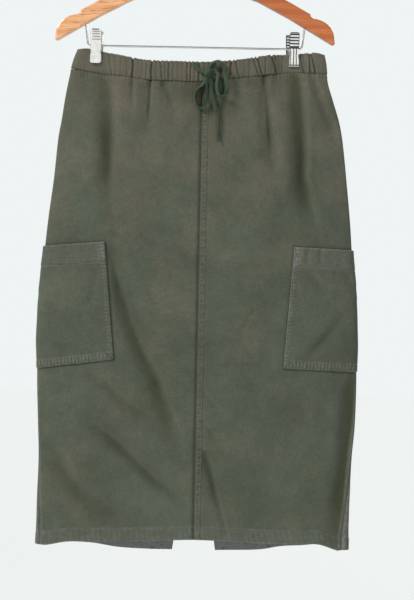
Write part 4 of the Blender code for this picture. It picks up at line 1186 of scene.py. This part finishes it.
def seam_rows():
    """The centre seams' rows, front and back, then the slit's, then its bar of two short ones."""
    rows = []
    under_band, above_hem, slit_foot = -0.2575, -0.9800, -0.983
    z = np.linspace(under_band, above_hem, 330)
    for at in SEAM_ROWS:
        rows.append(laid_on([TREES["front_right"]], 1, -1, SKIRT_X + at + 0 * z, z))
    z = np.linspace(under_band, SLIT_TOP - 0.004, 250)
    for at in SEAM_ROWS:
        rows.append(laid_on([TREES["back_left"]], -1, 1, SKIRT_X - at + 0 * z, z))
    z = np.linspace(SLIT_TOP, slit_foot, 100)
    for side, key in ((-1, "back_left"), (1, "back_right")):
        rows.append(laid_on([TREES[key]], side, 1, SKIRT_X + side * (slit_half(z) + SLIT_ROW), z))
    x = SKIRT_X + np.linspace(-0.012, 0.012, 12)
    for lower in (0.000, 0.004):
        z = SLIT_TOP - 0.004 - lower + 0 * x
        for side, key in ((-1, "back_left"), (1, "back_right")):
            half = (side * (x - SKIRT_X)) > slit_half(z) + 0.0006
            if half.sum() > 2:
                rows.append(laid_on([TREES[key]], side, 1, x[half], z[half]))
    return rows


def hem_rows():
    """One row along the top of each panel's hem."""
    rows = []
    for side in (-1, 1):
        for facing, word in ((-1, "front"), (1, "back")):
            key = f"{word}_{'left' if side < 0 else 'right'}"
            share = np.linspace(0.006 if facing < 0 else 0.145, 0.955, 130) * side
            z = hem_of(facing, share) + HEM_DEPTH - 0.001
            rows.append(laid_on([TREES[key]], side, facing, SKIRT_X + share * reach(side, z), z))
    return rows


def waist_rows():
    """A row near the top and one near the foot of each casing."""
    rows = []
    for facing, word in ((-1, "front"), (1, "back")):
        for side in (-1, 1):
            for down in (0.09, 0.945):
                place = np.linspace(0.0, 0.955, 150) * side
                z = mix(curve(WAIST_TOP, 1, place), curve(WAIST_SEAM, 1, place), down)
                x = SKIRT_X + place * reach(side, z)
                rows.append(laid_on([BAND_TREES[word]], side, facing, x, z))
    return rows


def pocket_rows(word, side):
    """Stitch rows of one pocket, on the front and, the same way, on the back."""
    inner_x, inner_z, outer_top, foot_x, foot_z, outer_foot = POCKETS[side]
    slope = math.hypot(foot_x - inner_x, foot_z - inner_z)
    rows = []
    tree = [POCKET_TREES[word]]
    for facing in (-1, 1):
        for at in POCKET_EDGE_ROWS:
            down = np.linspace(0.004, 0.996, 110)
            x = mix(inner_x, foot_x, down) + side * at * abs(foot_z - inner_z) / slope
            rows.append(laid_on(tree, side, facing, x, mix(inner_z, foot_z, down)))
        level = [(foot_z, outer_foot, at) for at in POCKET_FOOT_ROWS]
        for start, end, at in (*level, (inner_z, outer_top, -POCKET_HEM)):
            down = 1.0 if at > 0 else POCKET_HEM / abs(foot_z - inner_z)
            edge = mix(inner_x, foot_x, down)
            across = np.linspace(0.015, 0.97, 80)
            z = mix(start, end, across) + at
            x = edge + (SKIRT_X + side * reach(side, z) - edge) * across
            rows.append(laid_on(tree, side, facing, x, z))
        x = np.linspace(inner_x, inner_x + side * 0.011, 8)
        for at in (0.0305, 0.0150):
            rows.append(laid_on(tree, side, facing, x + side * 0.0015, inner_z - at + 0 * x))
    return rows


stitch_rows("stitches_seams", seam_rows())
stitch_rows("stitches_hem", hem_rows())
stitch_rows("stitches_waistband", waist_rows())
stitch_rows("stitches_pocket_left", pocket_rows("left", -1))
stitch_rows("stitches_pocket_right", pocket_rows("right", 1))


# ---------------------------------------------------------------- drawstring
TAPE_WIDTH = 0.0070
TAPE_THICK = 0.0015
KNOT = np.array((0.0215, -0.0166, -0.2405))

# Routes as in CAD, with the tape's turn at each point: 0 faces the viewer, 90 is edge-on.
LEFT_CORD = (
    (-0.0010, -0.0148, -0.2262, 10), (0.0040, -0.0154, -0.2325, 20), (0.0090, -0.0158, -0.2375, 30),
    (0.0150, -0.0166, -0.2400, 35), (0.0215, -0.0176, -0.2420, 40), (0.0214, -0.0195, -0.2500, 50),
    (0.0200, -0.0205, -0.2590, 54), (0.0207, -0.0205, -0.2740, 56), (0.0198, -0.0203, -0.2880, 58),
    (0.0150, -0.0198, -0.2962, 62), (0.0085, -0.0195, -0.2980, 66), (0.0028, -0.0190, -0.2920, 74),
    (0.0006, -0.0185, -0.2820, 76), (0.0019, -0.0178, -0.2724, 74), (0.0066, -0.0170, -0.2655, 60),
    (0.0125, -0.0162, -0.2608, 45), (0.0160, -0.0160, -0.2555, 45), (0.0190, -0.0163, -0.2470, 40),
    (0.0228, -0.0166, -0.2440, 30), (0.0252, -0.0170, -0.2500, 22), (0.0264, -0.0174, -0.2580, 18),
    (0.0270, -0.0180, -0.2680, 14), (0.0286, -0.0188, -0.2780, 14), (0.0308, -0.0194, -0.2870, 16),
    (0.0335, -0.0202, -0.2945, 18), (0.0360, -0.0208, -0.3005, 20),
)
RIGHT_CORD = (
    (0.0330, -0.0154, -0.2262, 20), (0.0282, -0.0158, -0.2330, 30), (0.0215, -0.0166, -0.2405, 30),
    (0.0222, -0.0185, -0.2335, 45), (0.0262, -0.0207, -0.2281, 58), (0.0306, -0.0213, -0.2249, 60),
    (0.0374, -0.0217, -0.2232, 58), (0.0439, -0.0221, -0.2268, 40), (0.0481, -0.0225, -0.2379, 10),
    (0.0508, -0.0226, -0.2522, 0), (0.0523, -0.0226, -0.2650, 8), (0.0508, -0.0224, -0.2746, 50),
    (0.0449, -0.0222, -0.2792, 74), (0.0385, -0.0220, -0.2760, 72), (0.0356, -0.0217, -0.2653, 58),
    (0.0364, -0.0213, -0.2520, 54), (0.0370, -0.0207, -0.2440, 60), (0.0320, -0.0192, -0.2385, 50),
    (0.0240, -0.0172, -0.2400, 40), (0.0270, -0.0158, -0.2428, 38), (0.0340, -0.0158, -0.2470, 36),
    (0.0398, -0.0160, -0.2560, 34), (0.0440, -0.0164, -0.2680, 36), (0.0456, -0.0168, -0.2800, 30),
    (0.0440, -0.0172, -0.2905, 34), (0.0408, -0.0176, -0.3003, 52), (0.0397, -0.0182, -0.3101, 76),
    (0.0400, -0.0188, -0.3229, 74), (0.0407, -0.0192, -0.3357, 55), (0.0415, -0.0194, -0.3440, 30),
    (0.0422, -0.0196, -0.3508, 22),
)


def smooth_path(route, spacing):
    route = np.array(route)
    ends = np.concatenate(([2 * route[0] - route[1]], route, [2 * route[-1] - route[-2]]))
    fine = []
    for i in range(1, len(ends) - 2):
        a, b, c, d = ends[i - 1:i + 3]
        for t in np.linspace(0, 1, 14, endpoint=False):
            fine.append(0.5 * (2 * b + (c - a) * t + (2 * a - 5 * b + 4 * c - d) * t**2
                               + (3 * b - a - 3 * c + d) * t**3))
    fine = np.array(fine + [route[-1]])
    lengths = np.concatenate(([0], np.cumsum(np.linalg.norm(np.diff(fine[:, :3], axis=0), axis=1))))
    at = np.linspace(0, lengths[-1], max(3, int(lengths[-1] / spacing)))
    return np.stack([np.interp(at, lengths, fine[:, i]) for i in range(fine.shape[1])], axis=1), lengths[-1]


def tape_section(samples=20):
    """A folded strip's section: a flat body, round edges, one edge stitched and thinner."""
    made = []
    for k in range(samples):
        turn = 2 * math.pi * k / samples
        c, s = math.cos(turn), math.sin(turn)
        wide = math.copysign(abs(c) ** 0.55, c) * TAPE_WIDTH / 2
        thick = math.copysign(abs(s) ** 0.75, s) * TAPE_THICK / 2
        stitched = 1 - 0.34 * math.exp(-(((wide - 0.0024) / 0.0006) ** 2))
        made.append((wide, thick * stitched))
    return np.array(made)


def tape(name, route):
    path, length = smooth_path(route, 0.0009)
    centres, turns = path[:, :3], np.radians(path[:, 3])
    ahead = np.gradient(centres, axis=0)
    ahead /= np.linalg.norm(ahead, axis=1, keepdims=True)
    viewer = np.array((0.0, -1.0, 0.0))
    across = np.cross(ahead, viewer)
    across /= np.linalg.norm(across, axis=1, keepdims=True)
    for i in range(1, len(across)):
        if across[i] @ across[i - 1] < 0:
            across[i] *= -1
    face = np.cross(across, ahead)
    width_way = across * np.cos(turns)[:, None] + face * np.sin(turns)[:, None]
    thick_way = np.cross(width_way, ahead)
    section = tape_section()
    curl = 0.0004 * np.sin(np.linspace(0, length / 0.011, len(centres)) * 2)[:, None]
    bow = curl * (1 - (2 * section[:, 0] / TAPE_WIDTH) ** 2)[None, :]
    squeeze = 1 - 0.30 * bell(np.linalg.norm(centres - KNOT, axis=1), 0.006)[:, None]
    points = (
        centres[:, None] + width_way[:, None] * (section[:, 0] * squeeze)[..., None]
        + thick_way[:, None] * (section[:, 1] + bow)[..., None]
    )
    rows = len(centres)
    faces = tube_faces(rows, len(section))
    along = np.linspace(0, length, rows)
    uv = np.stack(np.broadcast_arrays(section[:, 0][None, :], along[:, None]), axis=-1).reshape(-1, 2)
    piece = mesh_piece(name, points.reshape(-1, 3), faces, TAPE, None, uv, sharp=50)
    step = max(1, rows // 60)
    kept = [tuple(p) for p in centres[:-step:step]] + [tuple(centres[-1])]
    return settle(piece, "olive_trim"), length, kept


KNOT_CORE = np.array((0.0058, 0.0036, 0.0062))
WRAP_REACH = 0.0074
WRAP_DEPTH = 0.0050
WRAP_LEAN = math.radians(42)


def knot_core(centre):
    """A rounded, slightly rippled core: its points, texture places and faces."""
    rows, columns = 22, 40
    points, uv = [centre - (0, 0, KNOT_CORE[2])], [(0, 0)]
    for up in np.linspace(-math.pi / 2, math.pi / 2, rows + 1)[1:-1]:
        for turn in np.linspace(0, 2 * math.pi, columns, endpoint=False):
            way = np.array((math.cos(up) * math.cos(turn), math.cos(up) * math.sin(turn), math.sin(up)))
            ripple = 1 + 0.10 * math.sin(5 * way[0] + 8 * way[2])
            points.append(centre + way * KNOT_CORE * ripple)
            uv.append((turn * 0.006, up * 0.006))
    points.append(centre + (0, 0, KNOT_CORE[2]))
    uv.append((0, 0))
    top, last = len(points) - 1, 1 + (rows - 2) * columns
    faces = []
    for c in range(columns):
        after = (c + 1) % columns
        faces.append((0, 1 + after, 1 + c))
        faces.append((top, last + c, last + after))
        for r in range(rows - 2):
            a = 1 + r * columns
            faces.append((a + c, a + after, a + columns + after, a + columns + c))
    return points, uv, faces


def knot_wrap(centre, first):
    """One turn of the tape round the core, with its points numbered from first."""
    points, uv, around = [], [], 72
    along = np.array((math.cos(WRAP_LEAN), 0, math.sin(WRAP_LEAN)))
    beside = np.array((-math.sin(WRAP_LEAN), 0, math.cos(WRAP_LEAN)))
    section = tape_section()
    for k in range(around):
        turn = 2 * math.pi * k / around
        out = along * math.cos(turn) * WRAP_REACH + np.array((0, math.sin(turn) * WRAP_DEPTH, 0))
        outward = along * math.cos(turn) + np.array((0, math.sin(turn), 0))
        narrow = 0.90 - 0.22 * abs(math.cos(turn))
        for wide, thick in section:
            arch = 0.0011 * (1 - (2 * wide / TAPE_WIDTH) ** 2)
            points.append(centre + out + beside * wide * narrow + outward * (thick + arch - 0.0008))
            uv.append((wide, turn * 0.006))
    return points, uv, tube_faces(around, len(section), first, ring=True)


def knot_piece():
    """A snug overhand knot: a rounded core with one turn of the tape wrapped across it."""
    centre = KNOT + np.array((0.0006, -0.0004, 0))
    core, core_uv, core_faces = knot_core(centre)
    wrap, wrap_uv, wrap_faces = knot_wrap(centre, len(core))
    piece = mesh_piece(
        "drawstring_knot_cloth", core + wrap, core_faces + wrap_faces, TAPE, None,
        np.array(core_uv + wrap_uv),
    )
    return settle(piece, "olive_trim", "drawstring_knot")


KNOT_PIECE = knot_piece()
left_tape, left_length, left_path = tape("drawstring_left_tape", LEFT_CORD)
right_tape, right_length, right_path = tape("drawstring_right_tape", RIGHT_CORD)
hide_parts("drawstring_lead_left", "drawstring_loop_left", "drawstring_tail_left")
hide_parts("drawstring_lead_right", "drawstring_loop_right", "drawstring_tail_right")


# ---------------------------------------------------------------- hanger
# Depth and z down a jaw's middle: flared grip, waist at the spring, flat grip, lip.
JAW_PROFILE = (
    (0.0100, -0.1730), (0.0088, -0.1762), (0.0052, -0.1940), (0.0044, -0.1980),
    (0.0044, -0.2020), (0.0032, -0.2085), (0.0030, -0.2160), (0.0030, -0.2245),
    (0.0036, -0.2257), (0.0046, -0.2266),
)
RELIEF = 0.0009


def jaw_relief(style, u, z):
    """How far a jaw's pressed pattern stands out of its plate, in metres."""
    if style == "ribbed":
        bars = smooth(-0.25, 0.25, np.sin(2 * math.pi * (z + 0.1752) / 0.0047))
        bars = bars * (z > -0.1965) * (z < -0.1745)
        ribs = 1 - sum(bell(u - at, 0.115) for at in (-0.80, -0.12, 0.46))
        ribs = ribs * smooth(-0.1975, -0.1990, z) * smooth(-0.2240, -0.2228, z)
        lip = 0.6 * smooth(-0.2244, -0.2252, z)
        return RELIEF * (bars * (np.abs(u) < 0.90) + ribs + lip)
    groove = np.zeros(np.broadcast(u, z).shape)
    for at in (-0.1776, -0.1812, -0.1852, -0.1894):
        groove += bell(z - at, 0.0007) * smooth(0.80, 0.66, np.abs(u - 0.10))
    slot = bell(z + 0.1742, 0.0010) * smooth(0.75, 0.6, np.abs(u))
    return RELIEF * (1.0 - 0.75 * groove - 0.95 * slot - 0.25 * smooth(0.86, 0.97, np.abs(u)))


def jaw(name, x, facing, style, node, half_width):
    profile = np.array(JAW_PROFILE)
    z = np.linspace(profile[0, 1], profile[-1, 1], 112)[:, None]
    u = np.concatenate(([-1.0, -0.98], np.linspace(-0.95, 0.95, 47), [0.98, 1.0]))[None, :]
    depth = np.pad(np.interp(-z[:, 0], -profile[:, 1], profile[:, 0]), 4, mode="edge")
    depth = np.convolve(depth, np.ones(9) / 9, "valid")[:, None]
    plate = 0.0009
    half = half_width + 0 * z
    half = half - 0.0016 * smooth(-0.1750, -0.1730, z) ** 2 - 0.0009 * bell(z + 0.2090, 0.004)
    if style == "ribbed":
        half = half + 0.0010 * smooth(-0.2235, -0.2266, z)
    else:
        half = half - 0.0022 * smooth(-0.2235, -0.2266, z) ** 2
    turned = 0.0011 * smooth(0.86, 1.0, np.abs(u)) ** 2
    relief = jaw_relief(style, u, z)
    out = depth + plate + relief - turned
    # painted shade in the plate's recesses: highest where its relief is lowest
    fields = {"painted_recess_shade": np.clip(1 - relief / RELIEF, 0, 1)}
    outer = np.stack(np.broadcast_arrays(x + u * half, facing * out, z), axis=-1)
    inner = np.stack(np.broadcast_arrays(x + u * half, facing * (depth + 0.00005 - turned * 0.9), z), axis=-1)
    piece = grid_piece(name, outer, inner, CHROME, fields)
    return settle(piece, "bright_metal", node)


def spring(name, x, node):
    """A coil round the bar with its two legs lying behind the jaws."""
    radius, wire, steps_a_turn, steps = 0.0030, 0.00055, 20, 120
    path = [(x - 0.0070, -0.0034, -0.2040), (x - 0.0068, -0.0031, -0.2000)]
    for k in range(steps + 1):
        angle = math.pi + 2 * math.pi * k / steps_a_turn
        along = x - 0.0060 + 0.0120 * k / steps
        path.append((along, radius * math.cos(angle), -0.198 + radius * math.sin(angle)))
    path += [(x + 0.0068, -0.0031, -0.2000), (x + 0.0070, -0.0034, -0.2040)]
    ring, points = 8, []
    path = np.array(path)
    ahead = np.gradient(path, axis=0)
    ahead /= np.linalg.norm(ahead, axis=1, keepdims=True)
    up = np.array((1.0, 0.02, 0.05))
    for at, way in zip(path, ahead):
        a = np.cross(way, up)
        a /= np.linalg.norm(a)
        b = np.cross(way, a)
        for j in range(ring):
            turn = 2 * math.pi * j / ring
            points.append(at + wire * (a * math.cos(turn) + b * math.sin(turn)))
    return settle(mesh_piece(name, points, tube_faces(len(path), ring), SPRING), "bright_metal", node)


# How far each jaw sits off its clip's middle, and half its width.
JAW_FITS = {
    ("left", "front"): (-0.0010, CLIP_HALF), ("left", "back"): (0.0010, CLIP_HALF),
    ("right", "front"): (0.0018, 0.0077), ("right", "back"): (-0.0022, CLIP_HALF),
}
for word, side, style in (("left", -1, "grooved"), ("right", 1, "ribbed")):
    for face, facing in (("front", -1), ("back", 1)):
        shift, half_width = JAW_FITS[word, face]
        jaw(f"clip_{word}_{face}_plate", side * CLIP_X + shift, facing, style,
            f"clip_{word}_{face}_jaw", half_width)
    spring(f"clip_{word}_coil", side * CLIP_X, f"clip_{word}_spring")

for node, shade in (("hanger_wood", WOOD), ("hanger_hook", WIRE), ("hanger_bar", WIRE)):
    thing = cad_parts[node]
    for slot in thing.material_slots:
        slot.material = shade


# ---------------------------------------------------------------- floor, light, camera
def stage_material(name, colour):
    n = Nodes(name)
    n.shader.inputs["Base Color"].default_value = colour
    n.shader.inputs["Roughness"].default_value = 0.9
    return n.material


def add_floor():
    data = bpy.data.meshes.new("floor")
    half, z = 6.5, -1.30
    corners = [(-half, -half, z), (half, -half, z), (half, half, z), (-half, half, z)]
    data.from_pydata(corners, [], [(0, 1, 2, 3)])
    data.materials.append(stage_material("pale_floor", (0.87, 0.91, 0.90, 1)))
    placed("floor", data)


def add_sun(name, toward, strength, spread, colour):
    """Even light from one side. toward: the direction from the skirt to the light."""
    data = bpy.data.lights.new(name, "SUN")
    data.energy = strength
    data.angle = math.radians(spread)
    data.color = colour
    lamp = placed(name, data)
    lamp.rotation_mode = "QUATERNION"
    lamp.rotation_quaternion = (-Vector(toward)).to_track_quat("-Z", "Y")


def add_world():
    """A pale, even studio: bright where it is seen, softer as a light."""
    world = bpy.data.worlds.new("pale_studio")
    world.use_nodes = True
    tree = world.node_tree
    seen = tree.nodes["Background"]
    seen.inputs["Color"].default_value = (0.86, 0.90, 0.90, 1)
    lit = tree.nodes.new("ShaderNodeBackground")
    lit.inputs["Color"].default_value = (0.90, 0.95, 1.0, 1)
    lit.inputs["Strength"].default_value = 0.27
    rays = tree.nodes.new("ShaderNodeLightPath")
    either = tree.nodes.new("ShaderNodeMixShader")
    tree.links.new(rays.outputs["Is Camera Ray"], either.inputs[0])
    tree.links.new(lit.outputs[0], either.inputs[1])
    tree.links.new(seen.outputs[0], either.inputs[2])
    tree.links.new(either.outputs[0], tree.nodes["World Output"].inputs["Surface"])
    bpy.context.scene.world = world
    bpy.context.scene.view_settings.view_transform = "Standard"


def add_camera():
    data = bpy.data.cameras.new("camera")
    data.lens = 67.5
    data.sensor_width = 36
    camera = placed("camera", data)
    camera.location = (0.0271, -1.80, -0.6015)
    camera.rotation_euler = (math.radians(90), math.radians(-1.1), 0)
    bpy.context.scene.camera = camera


add_floor()
add_world()
add_sun("key", (-0.68, -0.45, 0.58), 3.05, 18, (1.0, 0.98, 0.95))
add_sun("fill", (0.45, -0.85, 0.05), 0.75, 30, (1.0, 0.96, 1.0))
add_sun("rim", (0.55, 0.75, 0.55), 1.0, 30, (1.0, 0.99, 0.97))
add_camera()

bpy.context.view_layer.update()
